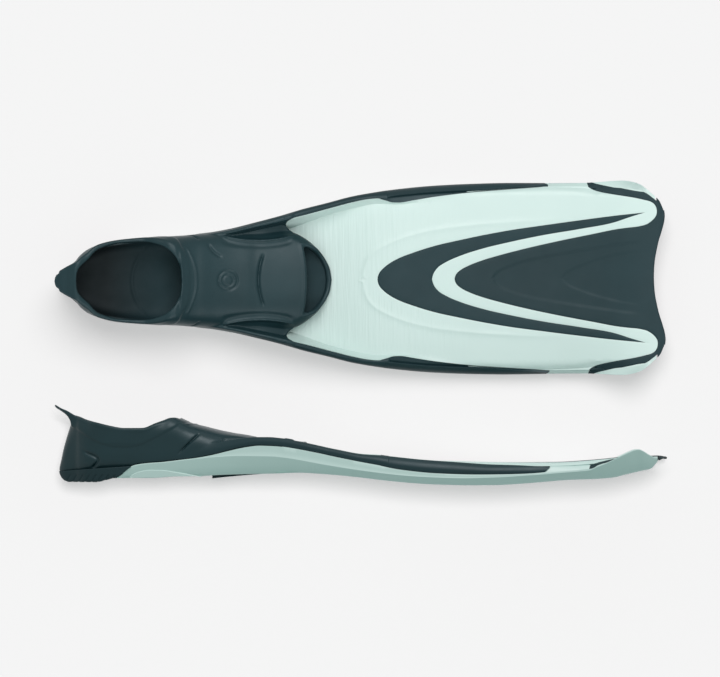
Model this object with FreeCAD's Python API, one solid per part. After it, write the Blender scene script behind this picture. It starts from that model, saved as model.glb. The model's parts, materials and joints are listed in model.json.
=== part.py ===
import FreeCAD, Part
import math
import os

# A pair of full-foot swim fins, shown as a pair: one flat on its sole, one on its side.
# Each fin is drawn once in its own frame: x from the heel tab to the blade tip, y across,
# z up from the ground. Millimetres.

os.makedirs("parts", exist_ok=True)
Vec = FreeCAD.Vector

# ------------------------------------------------------------------ driving dimensions
FIN_LENGTH = 640.0          # heel tab tip to blade corner
MEMBRANE = 3.6              # blade plate thickness
TRAY_WALL = 3.6             # side wall of the sole tray
RUBBER_WALL = 4.2           # foot pocket wall
RAIL_SKIN = 3.2             # rubber on the blade edge
SPAR_WIDTH = 9.0            # blade edge spar, below the plate
INLAY_PROUD = 0.5           # inlays stand proud of the plate
TONGUE = 2.2                # how far an inlay reaches into its groove
TONGUE_THICK = 1.2
HEEL_SEAM = 13.0            # top of the heel outsole
HEEL_FLOOR = 7.0            # outsole thickness under the heel
HEEL_FRONT = (60.0, 75.0)   # outsole front, at the ground and at the seam
FLOOR_RUBBER = 2.4          # pocket floor over the blade tray
STRIP_END = 348.0           # pocket strip ends, rail cap begins
RAIL_END = 515.0
TREAD_GROOVES = 7
PAIR_DISTANCE = 210.6       # between the two fins, across
LEFT_TURN = 0.4             # small turns of the two fins on the floor, degrees
RIGHT_TURN = -0.45
RIGHT_ROLL = -89.7

# ------------------------------------------------------------------ shape along the fin
HALF = [(58, 40.0), (70, 42.0), (83, 43.2), (108, 46.0), (133, 47.4), (158, 50.4), (184, 55.0),
        (209, 61.0), (234, 67.6), (259, 75.0), (284, 81.0), (310, 87.2), (335, 91.6), (360, 95.0),
        (398, 98.3), (436, 99.9), (474, 100.6), (524, 100.2), (562, 100.2), (573, 100.6),
        (584, 102.8), (597, 103.2), (606, 101.6), (613, 98.8), (624, 94.0), (644, 84.0)]
CREST = [(64, 8.0), (70, 12.0), (79, 16.4), (87, 19.2), (96, 20.6), (112, 21.8), (129, 24.0), (146, 26.2),
         (163, 29.5), (180, 33.6), (197, 37.2), (213, 39.2), (230, 38.6), (247, 36.4), (272, 32.2),
         (297, 27.2), (335, 20.2), (360, 15.4), (398, 11.8), (436, 10.8), (474, 11.4), (511, 12.6),
         (540, 13.0), (562, 14.0), (600, 18.0), (625, 24.0), (644, 28.0)]
BOTTOM = [(58, 4.6), (100, 4.8), (125, 6.6), (150, 7.2), (170, 8.6), (200, 9.8), (230, 10.6), (255, 11.6),
          (275, 10.8), (297, 9.2), (320, 7.0), (341, 4.6), (370, 2.0), (398, 0.5), (430, 0.0),
          (461, 0.4), (486, 2.0), (511, 4.2), (536, 6.4), (562, 7.6), (582, 9.6), (600, 12.6),
          (612, 16.3), (625, 23.2), (644, 27.8)]
PLATE = [(200, 14.0), (240, 15.6), (270, 17.0), (290, 19.2), (312, 22.4), (335, 24.8), (360, 25.4),
         (398, 24.6), (461, 23.6), (524, 24.6), (562, 27.2), (600, 31.0), (625, 32.0), (644, 31.6)]
RAIL_TOP = [(140, 36.0), (158, 41.4), (182, 45.9), (208, 48.8), (222, 49.0), (247, 47.0), (272, 42.8),
            (297, 38.2), (316, 35.2), (335, 32.8), (348, 30.6), (360, 28.4), (398, 27.0), (423, 25.6),
            (445, 23.2), (474, 21.4), (515, 20.7), (530, 21.0)]
RAIL_IN = [(140, 44.5), (158, 47.0), (184, 50.8), (209, 56.2), (234, 62.0), (259, 68.0), (284, 74.8),
           (310, 81.4), (335, 85.0), (343, 83.8), (352, 80.8), (360, 80.4), (373, 82.4), (398, 86.6),
           (436, 91.0), (474, 94.2), (515, 96.6), (530, 97.2)]
SLOPE_IN = [(240, 53.0), (255, 57.6), (287, 69.0), (318, 76.6), (336, 79.6), (346, 79.0), (360, 79.0), (398, 83.5),
            (436, 86.8), (474, 88.2), (524, 88.6), (562, 88.0), (600, 87.0), (644, 82.0)]

SHOE_HALF = [(3.8, 4.0), (5.2, 8.0), (9.5, 13.0), (14, 16.4), (20, 20.4), (28, 26.0), (36, 32.0), (45, 36.8),
             (58, 41.0), (72, 42.8), (90, 44.4), (110, 46.2), (133, 47.4), (158, 49.4), (184, 50.6),
             (210, 51.4), (240, 50.8), (256, 47.6), (270, 42.0), (286, 34.0)]
SHOE_TOP = [(3.8, 13.0), (5.2, 22.0), (7.4, 33.7), (11.5, 48.4), (15.8, 62.0), (20, 69.0), (31, 65.2),
            (40, 62.6), (56, 59.0), (72, 56.8), (85, 56.8), (93, 58.2), (106, 63.2), (116, 68.0), (124, 69.3),
            (132, 67.2), (140, 64.3), (160, 58.8), (175, 55.8), (192, 53.0), (210, 50.4), (240, 46.6),
            (256, 44.4), (270, 42.2), (286, 39.4)]
FOOT_FLOOR = [(16, 13.5), (60, 11.6), (120, 13.2), (170, 14.8), (215, 16.2), (255, 18.6), (300, 21.6)]
OPENING = [(21.5, 0.0), (22.5, 9.0), (26, 18.0), (33, 26.0), (44, 33.4), (58, 38.0), (76, 39.6), (98, 38.8),
           (112, 36.4), (122, 31.4), (128, 23.0), (131, 11.0), (131.6, 0.0)]
TOE_ARC = [(243, 51.6), (252, 48.4), (262, 42.6), (272, 34.0), (280, 24.0), (286, 12.0), (288, 0.0)]
TOE_HALF = 33.0             # toe opening, half width
TOE_EDGE = 261.0            # upper edge of the toe opening
TOE_LIP = 283.0             # lower lip

CHEVRON_OUT = [(338, 0.0), (340, 6.0), (345, 11.5), (352, 16.5), (362, 22.4), (375, 27.6), (398, 34.6),
               (423, 40.0), (448, 45.0), (474, 49.4), (511, 54.6), (549, 59.8), (587, 64.4), (616, 67.0)]
CHEVRON_IN = [(394, 0.0), (395.5, 6.0), (400, 12.0), (410, 18.4), (423, 24.0), (448, 31.8), (474, 37.8),
              (511, 45.0), (549, 51.4), (587, 58.6), (616, 67.0)]
PANEL_OUT = [(419, 0.0), (420.5, 5.0), (425, 9.6), (436, 14.6), (461, 22.6), (486, 29.2), (524, 37.8),
             (562, 45.2), (587, 49.8), (600, 52.0), (620, 53.4)]
PANEL_END = [(626.0, 55.4), (630.0, 60.0), (631.2, 65.0), (630.0, 70.0), (624.8, 76.9)]
TIP_OUT = [(560, 110.0), (606, 110.0), (613, 98.8), (620, 93.0), (625, 88.5), (633, 81.4), (637.4, 71.6),
           (638.6, 60.6), (637.4, 50.0), (634.4, 39.2), (632.2, 28.0), (631.2, 14.0), (631, 0.0)]
BAND_OUT = [(553.5, 108.0), (570.0, 108.0), (573.3, 97.0), (583, 95.0), (596.4, 93.0), (617.4, 88.5), (626, 84.4)]
BAND_IN = [(553.5, 100.2), (561.8, 92.3), (573.3, 88.5), (582.8, 87.0), (612.2, 82.0), (624.8, 76.9)]
WINGLET_TOP = [(552, 15.0), (562, 19.0), (574, 24.0), (588, 31.4), (598, 37.0), (608, 39.0), (617, 37.0),
               (626, 33.0), (632, 30.6)]


def along(table, x):
    """Smooth value of a table at x: cubic pieces with limited slopes."""
    if x <= table[0][0]:
        return table[0][1]
    if x >= table[-1][0]:
        return table[-1][1]
    k = 0
    while table[k + 1][0] < x:
        k += 1
    (x0, a), (x1, b) = table[k], table[k + 1]
    step = x1 - x0
    here = (b - a) / step

    def slope(i):
        if i <= 0 or i >= len(table) - 1:
            return here
        d0 = (table[i][1] - table[i - 1][1]) / (table[i][0] - table[i - 1][0])
        d1 = (table[i + 1][1] - table[i][1]) / (table[i + 1][0] - table[i][0])
        if d0 * d1 <= 0:
            return 0.0
        return 2 * d0 * d1 / (d0 + d1)

    t = (x - x0) / step
    m0, m1 = slope(k) * step, slope(k + 1) * step
    return ((2 * t ** 3 - 3 * t ** 2 + 1) * a + (t ** 3 - 2 * t ** 2 + t) * m0
            + (3 * t ** 2 - 2 * t ** 3) * b + (t ** 3 - t ** 2) * m1)


# ------------------------------------------------------------------ builders
def section(x, half):
    """Closed polygon across the fin from its right half (y, z), mirrored."""
    pts = [Vec(x, y, z) for y, z in half] + [Vec(x, -y, z) for y, z in reversed(half)]
    return Part.makePolygon(pts + [pts[0]])


def polygon(x, pts):
    pts = [Vec(x, y, z) for y, z in pts]
    return Part.makePolygon(pts + [pts[0]])


def ruled(wires):
    return Part.makeLoft(wires, True, True)


def plan_prism(points, z0=-30.0, z1=130.0, mirror=True):
    """Upright prism over a plan outline given on the +y side and mirrored."""
    right = [Vec(x, y, z0) for x, y in points]
    if mirror:
        right += [Vec(x, -y, z0) for x, y in reversed(points) if y > 1e-6]
    wire = Part.makePolygon(right + [right[0]])
    return Part.Face(wire).extrude(Vec(0, 0, z1 - z0))


def side_slab(upper, lower, xs, half=130.0):
    """Solid between two height curves along x, right across the fin."""
    xs = sorted(xs)
    top = [Vec(x, -half, upper(x)) for x in xs]
    low = [Vec(x, -half, lower(x)) for x in reversed(xs)]
    wire = Part.makePolygon(top + low + [top[0]])
    return Part.Face(wire).extrude(Vec(0, 2 * half, 0))


def steps(x0, x1, gap):
    n = max(1, int(math.ceil((x1 - x0) / gap)))
    return [x0 + (x1 - x0) * i / n for i in range(n + 1)]


def sampled(table, gap, x0=None, x1=None):
    """Table points plus smooth ones between them."""
    x0 = table[0][0] if x0 is None else x0
    x1 = table[-1][0] if x1 is None else x1
    xs = sorted(set(steps(x0, x1, gap)) | {x for x, _ in table if x0 < x < x1})
    keep = [xs[0]]
    for x in xs[1:]:
        if x - keep[-1] > 0.4:
            keep.append(x)
    return [(x, along(table, x)) for x in keep]


def mirrored(shape):
    return shape.mirror(Vec(0, 0, 0), Vec(0, 1, 0))


def plate(x):
    return along(PLATE, x)


def oval(x, half, low, high, power, count=16):
    """Closed smooth section, fuller than an ellipse when power is over 2."""
    mid, rise = (low + high) / 2, (high - low) / 2
    pts = []
    for i in range(count):
        t = 2 * math.pi * i / count
        c, s = math.cos(t), math.sin(t)
        pts.append(Vec(x, math.copysign(abs(c) ** (2 / power), c) * half,
                       mid + math.copysign(abs(s) ** (2 / power), s) * rise))
    curve = Part.BSplineCurve()
    curve.interpolate(Points=pts, PeriodicFlag=True)
    return Part.Wire([curve.toShape()])


# ------------------------------------------------------------------ blade
def blade_half(x):
    """Right half of the blade section at x: plate, slope, rail seat, outer wall, spar."""
    half, crest, low = along(HALF, x), along(CREST, x), along(BOTTOM, x)
    crest = max(crest, low + 2.5)
    if x <= 240.0:
        inner = half - TRAY_WALL
        floor = low + MEMBRANE
        lip = max(crest, floor + 0.6)
        return [(inner - 2.0, floor), (inner, lip - 0.2), (inner + 0.6, lip), (half - 1.0, lip),
                (half, lip - 0.6), (half - 1.0, low + min(4.0, (lip - low) / 2)), (half - 6.0, low),
                (half - 18.0, low)]
    top = plate(x)
    rail_x = min(x, RAIL_END)
    inner = half - (along(HALF, rail_x) - along(RAIL_IN, rail_x))
    rail = along(RAIL_TOP, x)
    if x > RAIL_END + 4.0:
        t = min(1.0, (x - RAIL_END - 4.0) / 26.0)
        rail = (crest + (rail - crest) * 0.9) * (1 - t) + (top - 0.3) * t
        crest = crest * (1 - t) + (top - 3.0) * t
        inner = half - 3.6
        seat = rail - 0.2
    else:
        seat = rail - RAIL_SKIN
    foot = min(along(SLOPE_IN, x), inner - 1.5)
    return [(foot, top), (inner, rail), (inner, seat), (half - RAIL_SKIN, crest), (half, crest),
            (half - 1.6, low), (half - SPAR_WIDTH, low), (half - SPAR_WIDTH - 3.0, top - MEMBRANE)]


TIP_EDGE = [(560, 110.0), (606, 102.0)] + TIP_OUT[2:6]
BAND_EDGE = [(568, 96.6)] + BAND_OUT[2:]


def winglet(side):
    """Upright corner wing on the blade edge, rising over the plate."""
    wires = []
    for x in (568, 574, 584, 597, 606, 613, 620, 626):
        half = along(HALF, x)
        top = max(along(WINGLET_TOP, x), along(BOTTOM, x) + 4.0)
        low = along(BOTTOM, x) + 1.0
        half = min(half, along(TIP_EDGE, x)) - 0.1
        thick = min(6.0, half - along(BAND_EDGE, x) + 0.4)
        wires.append(polygon(x, [(side * (half - 0.2), low), (side * (half - 0.6), top - 1.0),
                                 (side * (half - thick + 2.0), top), (side * (half - thick), top - 1.6),
                                 (side * (half - thick), low)]))
    return ruled(wires)


def ribbon(outer, inner, gap, grow=0.0, end=1e9):
    """Outline of a V between two tables on the +y side, mirrored as one closed outline."""
    out = [(x - grow, y) if y == 0 else (x, y + grow) for x, y in sampled(outer, gap) if x <= end]
    back = [(x + grow, y) if y == 0 else (x, max(y - grow, 0.3)) for x, y in sampled(inner, gap) if x <= end]
    if grow:
        back = [(x, min(y, along(outer, x) + grow - 0.8)) if y else (x, y) for x, y in back]
    return out, back


def v_prism(outer, inner, gap, grow=0.0, end=1e9):
    out, back = ribbon(outer, inner, gap, grow, end)
    return plan_prism(out + [(out[-1][0] + 0.01, 0.0)]).cut(plan_prism(back + [(back[-1][0] + 5.0, back[-1][1]),
                                                                             (back[-1][0] + 5.0, 0.0)]))


def chevron(grow):
    end = 616.0 - (3.0 if grow else 0.0)
    return v_prism(CHEVRON_OUT, CHEVRON_IN, 12.0, grow, end)


# plan outline of one fin's blade, tip included
half_line = [(x, y) for x, y in sampled(HALF, 14.0) if x < 610.0]
blade_plan = plan_prism([(64.0, 0.0), (64.0, along(HALF, 64.0))] + [p for p in half_line if p[0] > 64.5]
                        + TIP_OUT[2:])
blade_x = [64, 70, 79, 87, 98, 112, 129, 146, 163, 180, 197, 213, 230, 240, 250, 260, 272, 284, 297, 310,
           323, 335, 348, 360, 373, 398, 423, 448, 474, 500, 515, 521, 540, 562, 582, 600, 612, 625, 644]
blade = ruled([section(x, blade_half(x)) for x in blade_x])
blade = blade.fuse([winglet(1), winglet(-1)])
blade = blade.common(blade_plan)
# the tray starts on a slanted line at the heel
slant = Part.Face(Part.makePolygon([Vec(HEEL_FRONT[0], -80, 0), Vec(HEEL_FRONT[1], -80, HEEL_SEAM),
                                    Vec(HEEL_FRONT[1] + 20, -80, HEEL_SEAM + 20), Vec(-5, -80, 60),
                                    Vec(-5, -80, -5), Vec(HEEL_FRONT[0] - 5, -80, -5),
                                    Vec(HEEL_FRONT[0], -80, 0)])).extrude(Vec(0, 160, 0))
blade = blade.cut(slant)

# ------------------------------------------------------------------ inlays
chevron_body = chevron(0.0)
chevron_tongue = chevron(TONGUE)


def slab(upper, lower):
    return side_slab(upper, lower, steps(330.0, 648.0, 8.0))


mid_low = (MEMBRANE + TONGUE_THICK) / 2
full_slab = slab(lambda x: plate(x) + INLAY_PROUD, lambda x: plate(x) - MEMBRANE - 0.2)
tongue_slab = slab(lambda x: plate(x) - mid_low + TONGUE_THICK, lambda x: plate(x) - mid_low)
chevron_insert = chevron_body.common(full_slab).fuse(chevron_tongue.common(tongue_slab)).removeSplitter()

# tip panel: the middle panel, the trailing band and the two corner bands
pan = [(x, y) for x, y in sampled(PANEL_OUT, 12.0)]
centre = plan_prism(pan + PANEL_END + [(625.0, 88.5)] + TIP_OUT[5:])
bands = None
for side in (1, -1):
    out = [(x, side * y) for x, y in BAND_OUT]
    inn = [(x, side * y) for x, y in BAND_IN]
    wire = [Vec(x, y, -30) for x, y in out + list(reversed(inn))]
    band = Part.Face(Part.makePolygon(wire + [wire[0]])).extrude(Vec(0, 0, 160))
    bands = band if bands is None else bands.fuse(band)
panel_plan = centre.fuse(bands).common(blade_plan)
grown = [(x - TONGUE if y == 0 else x, y if y == 0 else y + TONGUE) for x, y in pan if x < 618]
panel_tongue = plan_prism(grown + [(x - TONGUE, y) for x, y in PANEL_END[1:4]] + [(630.0, 74.0)] + TIP_OUT[6:])
panel_tongue = panel_tongue.common(blade_plan)
tip_panel = panel_plan.common(full_slab).fuse(panel_tongue.common(tongue_slab)).removeSplitter()
wing_zone = winglet(1).fuse(winglet(-1))
tip_panel = tip_panel.cut(wing_zone)
blade = blade.cut(chevron_insert).cut(tip_panel)
blade = blade.cut(panel_plan.cut(wing_zone).common(slab(lambda x: 60.0, lambda x: plate(x) - MEMBRANE / 2)))

# ------------------------------------------------------------------ rubber on the blade edges
def rail_half(x, lip=0.0):
    half, crest = along(HALF, x), along(CREST, x)
    inner, top = along(RAIL_IN, x), along(RAIL_TOP, x)
    shoulder = min(half - 1.6, max(inner + 1.5, half - 3.4))
    return [(inner, top), (shoulder, top - 0.28 * (top - crest)), (half, crest), (half - RAIL_SKIN, crest),
            (inner, top - RAIL_SKIN)]


def rail(x0, x1, side):
    xs = [x0] + [x for x in blade_x if x0 + 0.5 < x < x1 - 0.5] + [x1]
    return ruled([polygon(x, [(side * y, z) for y, z in rail_half(x)]) for x in xs])


rail_caps = [rail(STRIP_END, RAIL_END, s) for s in (1, -1)]
strips = [rail(250.0, STRIP_END, s) for s in (1, -1)]

# ------------------------------------------------------------------ foot pocket
def shoulder_half(x):
    """Rubber from the pocket side out to the rail, over the tray wall."""
    half, crest = along(HALF, x), along(CREST, x)
    inner, top = along(RAIL_IN, x), along(RAIL_TOP, x)
    shoe = along(SHOE_HALF, x) - 6.0
    web = crest + 3.0
    return [(shoe, crest - 2.0), (shoe, web + 1.0), (max(inner - 3.0, shoe + 0.5), web), (inner, top),
            (half - 1.4, top - 0.25 * (top - crest)), (half, crest), (half - 0.5, crest - 0.2),
            (half - 0.8 * TRAY_WALL, crest - 2.0)]


def shoulder(side):
    xs = [146, 163, 180, 197, 213, 230, 240, 250]
    return ruled([polygon(x, [(side * y, z) for y, z in shoulder_half(x)]) for x in xs])


shoe_x = [3.8, 5.2, 9.5, 14, 20, 28, 36, 45, 58, 76, 95, 114, 124, 136, 154, 175, 205, 240, 260, 275, 286]
outer = Part.makeLoft([oval(x, along(SHOE_HALF, x), 3.0, along(SHOE_TOP, x) + (4.0 if 20 < x < 120 else 0.0),
                            2.7) for x in shoe_x], True, False)
inner_x = [12, 20, 30, 45, 62, 85, 114, 136, 154, 180, 210, 240, 258, 272, 300]


def inner_half(x):
    if x < 20:
        return max(along(SHOE_HALF, x + 4.0) - 9.0, 5.0)
    if x > 256:
        return TOE_HALF + (along(SHOE_HALF, 256) - RUBBER_WALL - TOE_HALF) * max(0.0, (272 - x) / 16.0)
    return along(SHOE_HALF, x) - RUBBER_WALL


def inner_top(x):
    if x < 133:
        return along(SHOE_TOP, x) + (9.0 if x > 20 else -14.0)
    return along(SHOE_TOP, x) - RUBBER_WALL


cavity = Part.makeLoft([oval(x, inner_half(x), along(FOOT_FLOOR, x), inner_top(x), 2.6) for x in inner_x],
                       True, False)


def seam(x):
    """Lowest pocket rubber seen from the side: heel outsole, then tray wall, then blade plate."""
    if x < HEEL_FRONT[1]:
        return HEEL_SEAM
    return along(CREST, x) if x <= 240.0 else plate(x) - 0.6


def floor_under(x):
    if x < HEEL_FRONT[1] - 4.0:
        return HEEL_FLOOR - 1.0
    return (along(BOTTOM, x) + MEMBRANE if x <= 240.0 else plate(x)) - 0.6


shoe_steps = [4.0, 14, 20, 28, 45] + [x for x in blade_x if x < 240] + [HEEL_FRONT[1], 240.0, 240.01, 260, 272, 284, 300]
shoe_steps = sorted(set(shoe_steps) - {70})


def rim_line(x):
    """Rim of the ankle opening; clear of the instep further forward."""
    return along(SHOE_TOP, x) if x < 136 else 90.0


pocket = outer.common(side_slab(rim_line, seam, shoe_steps + [121.0, 135.9, 136.1]))

block_line = [(8.4, 0.0), (8.4, along(SHOE_HALF, 8.4) - TRAY_WALL + 0.8)]
block_line += [(x, min(along(SHOE_HALF, x), along(HALF, x)) - TRAY_WALL + 0.8) for x in steps(12.0, 76.0, 8.0)]
block_line += [(x, along(HALF, x) - TRAY_WALL + 0.8) for x in steps(82.0, 240.0, 10.0)]
block_line += TOE_ARC
block = plan_prism(block_line).common(side_slab(lambda x: seam(x) if x <= 240 else plate(x) + 2.0,
                                                floor_under, shoe_steps))
pocket = pocket.fuse([block, shoulder(1), shoulder(-1)] + strips)

# heel tab, a thin tongue above the heel
TAB_PLAN = [(-1.8, 0.0), (-1.4, 4.4), (0.4, 8.4), (5.0, 12.0), (9.5, 14.4), (14.0, 16.2), (20.0, 18.4)]
TAB_TOP = [(-2.0, 80.7), (5.0, 77.0), (10.0, 75.0), (16.0, 71.6), (20.0, 69.4)]
TAB_LOW = [(-2.0, 78.2), (0.0, 77.0), (5.2, 73.8), (10.5, 69.6), (13.6, 65.0), (16.0, 58.0), (20.0, 57.0)]
tab = plan_prism(TAB_PLAN).common(side_slab(lambda x: along(TAB_TOP, x), lambda x: along(TAB_LOW, x),
                                            steps(-2.0, 20.0, 2.4)))
pocket = pocket.fuse(tab)

# heel outsole: a cup with a flat tread and slanted grooves
TREAD = [(3.8, 8.5), (5.2, 5.4), (7.0, 2.8), (9.5, 1.0), (13.0, 0.0), (42.0, 0.0), (52.0, 2.4), (62.0, 4.6), (80.0, 4.8)]
sole_line = [(3.8, 0.0)] + [(x, along(SHOE_HALF, x)) for x in (3.8, 5.2, 9.5, 14, 20, 28, 36, 45, 52, 58, 66, 76)]
outsole = plan_prism(sole_line).common(side_slab(lambda x: HEEL_SEAM, lambda x: along(TREAD, x),
                                                 [3.8, 5.2, 7.0, 9.5, 13.0, 42.0, 52.0, 62.0, 80.0]))
cup_line = [(9.2, 0.0)] + [(x, along(SHOE_HALF, x) - 3.6) for x in (9.2, 14, 20, 28, 36, 45, 52, 58, 66, 80)]
outsole = outsole.cut(plan_prism(cup_line, HEEL_FLOOR, 40.0)).common(slant)
groove_at = [15.5 + 6.6 * k for k in range(TREAD_GROOVES)]
for x in groove_at:
    bar = Part.makeBox(1.6, 100.0, 8.0, Vec(x, -50.0, -6.4))
    bar.rotate(Vec(x, 0, 0), Vec(0, 1, 0), -16.0)
    keep_clear = Part.makeBox(200, 200, 40, Vec(-50, -100, 1.7 + max(0.0, x - 44) * 0.2))
    outsole = outsole.cut(bar.cut(keep_clear))

tray = ruled([section(x, blade_half(x)) for x in blade_x if x <= 360]).cut(slant)
pocket = pocket.cut([tray, outsole])

# foot cavity, ankle opening and toe opening
pocket = pocket.cut(cavity)
pocket = pocket.cut(plan_prism(sampled(OPENING, 8.0), 24.0, 130.0))
toe_cut = Part.Face(Part.makePolygon([Vec(TOE_EDGE, -60, 60), Vec(TOE_EDGE, -60, 40), Vec(TOE_LIP, -60, 21.5),
                                      Vec(330, -60, 21.5), Vec(330, -60, 60),
                                      Vec(TOE_EDGE, -60, 60)])).extrude(Vec(0, 120, 0))
inside_rails = plan_prism([(240.0, 0.0)] + [(x, along(RAIL_IN, x)) for x in (240, 250, 260, 272, 284)]
                          + [(300.0, 70.0), (300.0, 0.0)], 10.0, 70.0)
front_zone = inside_rails.cut(plan_prism([(230.0, 0.0), (230.0, 52.0)] + TOE_ARC))
pocket = pocket.cut(toe_cut.common(inside_rails)).cut(front_zone)

# grip pad under the ball of the foot
PAD = [(164.0, 0.0), (164.0, 29.0), (190.0, 31.5), (215.0, 33.0)]
pad = plan_prism(PAD).common(side_slab(lambda x: along(BOTTOM, x) + 1.6,
                                       lambda x: along(BOTTOM, x) - 3.4 * (216.0 - x) / 52.0,
                                       steps(163.0, 216.0, 6.0)))
blade = blade.cut(pad)

FIN = {"blade": blade, "foot_pocket": pocket, "chevron_insert": chevron_insert, "tip_panel": tip_panel,
       "rail_cap_left_edge": rail_caps[0], "rail_cap_right_edge": rail_caps[1], "heel_outsole": outsole,
       "sole_grip_pad": pad}
for n in FIN:
    FIN[n] = max(FIN[n].Solids, key=lambda solid: solid.Volume)

# ------------------------------------------------------------------ the two fins in the row
def turn(axis, angle):
    return FreeCAD.Rotation(Vec(*axis), angle)


def placed(shape, place):
    return shape.transformed(place.toMatrix(), True)


flat = FreeCAD.Placement(Vec(0, PAIR_DISTANCE, 0), turn((0, 0, 1), LEFT_TURN))
side = FreeCAD.Placement(Vec(0, 0, 0), turn((0, 0, 1), RIGHT_TURN).multiply(turn((1, 0, 0), RIGHT_ROLL)))
pair = [("left", flat), ("right", side)]


def spans(shapes):
    lo, hi = [1e9] * 3, [-1e9] * 3
    for shape in shapes:
        for p in shape.tessellate(0.05)[0]:
            for i, v in enumerate((p.x, p.y, p.z)):
                lo[i], hi[i] = min(lo[i], v), max(hi[i], v)
    return lo, hi


lows = {}
for name, place in pair:
    lows[name] = spans([placed(s, place) for s in FIN.values()])
flat.Base.z -= lows["left"][0][2]
side.Base.z -= lows["right"][0][2]
lo = [min(lows[n][0][i] for n in lows) for i in range(2)]
hi = [max(lows[n][1][i] for n in lows) for i in range(2)]
for name, place in pair:
    place.Base.x -= (lo[0] + hi[0]) / 2
    place.Base.y -= (lo[1] + hi[1]) / 2
for name, place in pair:
    for part, shape in FIN.items():
        done = placed(shape, place)
        done.exportStep("parts/%s_fin_%s.step" % (name, part))
    for label, p in (("foot_entry", (77.0, 0.0, 60.0)), ("toe_opening", (284.0, 0.0, 30.0)),
                     ("heel_rest", (27.0, 0.0, 0.0))):
        v = place.multVec(Vec(*p))
        print("%s %s %.5f %.5f %.5f" % (name, label, v.x / 1000, v.y / 1000, v.z / 1000))
    for label, d in (("forward", (1, 0, 0)), ("up", (0, 0, 1)), ("across", (0, 1, 0))):
        v = place.Rotation.multVec(Vec(*d))
        print("%s %s %.6f %.6f %.6f" % (name, label, v.x, v.y, v.z))
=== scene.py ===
import bmesh
import bpy
import json
import math
import numpy as np
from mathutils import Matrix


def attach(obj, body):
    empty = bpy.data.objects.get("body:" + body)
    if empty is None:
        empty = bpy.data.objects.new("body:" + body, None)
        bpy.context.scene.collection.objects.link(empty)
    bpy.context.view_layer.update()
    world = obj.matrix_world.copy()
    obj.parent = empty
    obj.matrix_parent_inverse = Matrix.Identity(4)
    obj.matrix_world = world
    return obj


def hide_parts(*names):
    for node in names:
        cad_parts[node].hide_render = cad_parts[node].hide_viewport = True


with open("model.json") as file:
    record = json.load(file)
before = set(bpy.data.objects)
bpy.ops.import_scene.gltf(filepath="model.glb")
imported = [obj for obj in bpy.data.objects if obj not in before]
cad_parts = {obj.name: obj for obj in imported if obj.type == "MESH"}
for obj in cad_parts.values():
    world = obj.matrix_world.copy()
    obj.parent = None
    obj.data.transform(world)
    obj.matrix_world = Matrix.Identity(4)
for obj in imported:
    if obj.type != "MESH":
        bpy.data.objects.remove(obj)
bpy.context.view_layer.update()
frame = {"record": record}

import openvdb
from mathutils import Matrix, Vector
from mathutils.geometry import delaunay_2d_cdt

# A pair of swim fins. Each fin is drawn once in its own frame: x from the heel tab to the
# blade tip, y across, z up from the ground, in millimetres. Both fins share the meshes.
# A table holds (x, value) points. An outline holds (x, y) points of the +y half.

MM = 0.001
WELD = 0.02           # points closer than this become one
MEMBRANE = 3.6        # thickness of the plate
RAIL_SKIN = 3.2       # rubber over the blade's edge
EDGE_START = 62.0     # where the blade's edge begins, by the heel
SLOPE_START = 236.0   # where the plate begins to rise to the rails
STRIP_END = 348.0     # end of the pocket's rails, where the rail caps begin
RAIL_END = 515.0      # end of the rail caps
PANEL_SIDE = 629.2    # the tip panel takes over the edge here
EDGE_END = 637.4      # end of the edge beside the tip
TIP_FAR = 120.0       # well outside the blade
FINE, COARSE = 1.6, 2.4  # steps along the inlays' outlines and along the soft lines

# ------------------------------------------------------------------ the blade along the fin
# half width; top of the side, and the ridge where it turns down; underside; top of the plate
HALF = [(58, 40.0), (70, 42.0), (83, 43.2), (108, 46.0), (133, 47.4), (158, 50.4), (184, 54.9), (209, 60.7),
        (234, 67.0), (259, 74.3), (284, 80.5), (310, 87.2), (335, 91.6), (360, 95.0), (398, 98.3),
        (436, 99.9), (474, 100.6), (524, 100.2), (562, 100.2), (573, 100.0), (597, 99.0), (606, 98.0),
        (613, 96.4), (620, 92.4), (625, 88.3), (633, 81.2), (637.4, 71.6)]
CREST = [(62, 5.0), (66, 6.2), (69, 8.4), (73, 13.0), (78.3, 16.9), (85, 19.0), (97, 20.6), (112, 21.8),
         (129, 24.0), (146, 26.2), (163, 29.4), (180, 33.7), (197, 37.6), (213, 39.6), (230, 39.1),
         (247, 36.9), (272, 32.4), (297, 27.2), (335, 20.0), (360, 15.4), (398, 11.8), (436, 10.8),
         (474, 11.4), (511, 13.4), (527, 15.0), (547, 17.0), (559, 18.4), (566, 21.0), (575, 24.4),
         (584, 28.8), (592, 32.6), (600, 36.4), (606, 38.7), (609, 39.0), (614, 37.0), (620, 33.4),
         (627, 30.6), (632, 31.2), (638, 30.9), (644, 31.0)]
RIDGE = [(62, 4.8), (66, 6.0), (69, 8.0), (73, 12.4), (78.3, 16.2), (85, 18.3), (97, 20.0), (112, 21.2),
         (129, 23.4), (146, 25.4), (157, 26.7), (167, 27.6), (192, 29.0), (224, 28.8), (240, 27.4),
         (255, 25.2), (275, 21.6), (297, 18.0), (318, 15.0), (339, 12.4), (360, 10.2), (381, 8.8),
         (423, 7.6), (461, 8.8), (490, 10.8), (515, 12.8), (527, 14.0), (547, 15.7), (559, 17.2),
         (566, 20.3), (575, 24.0), (584, 28.4), (592, 32.2), (600, 36.0), (606, 38.3), (609, 38.6),
         (614, 36.6), (620, 33.0), (627, 29.8), (632, 30.2), (638, 30.6), (644, 30.7)]
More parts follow.
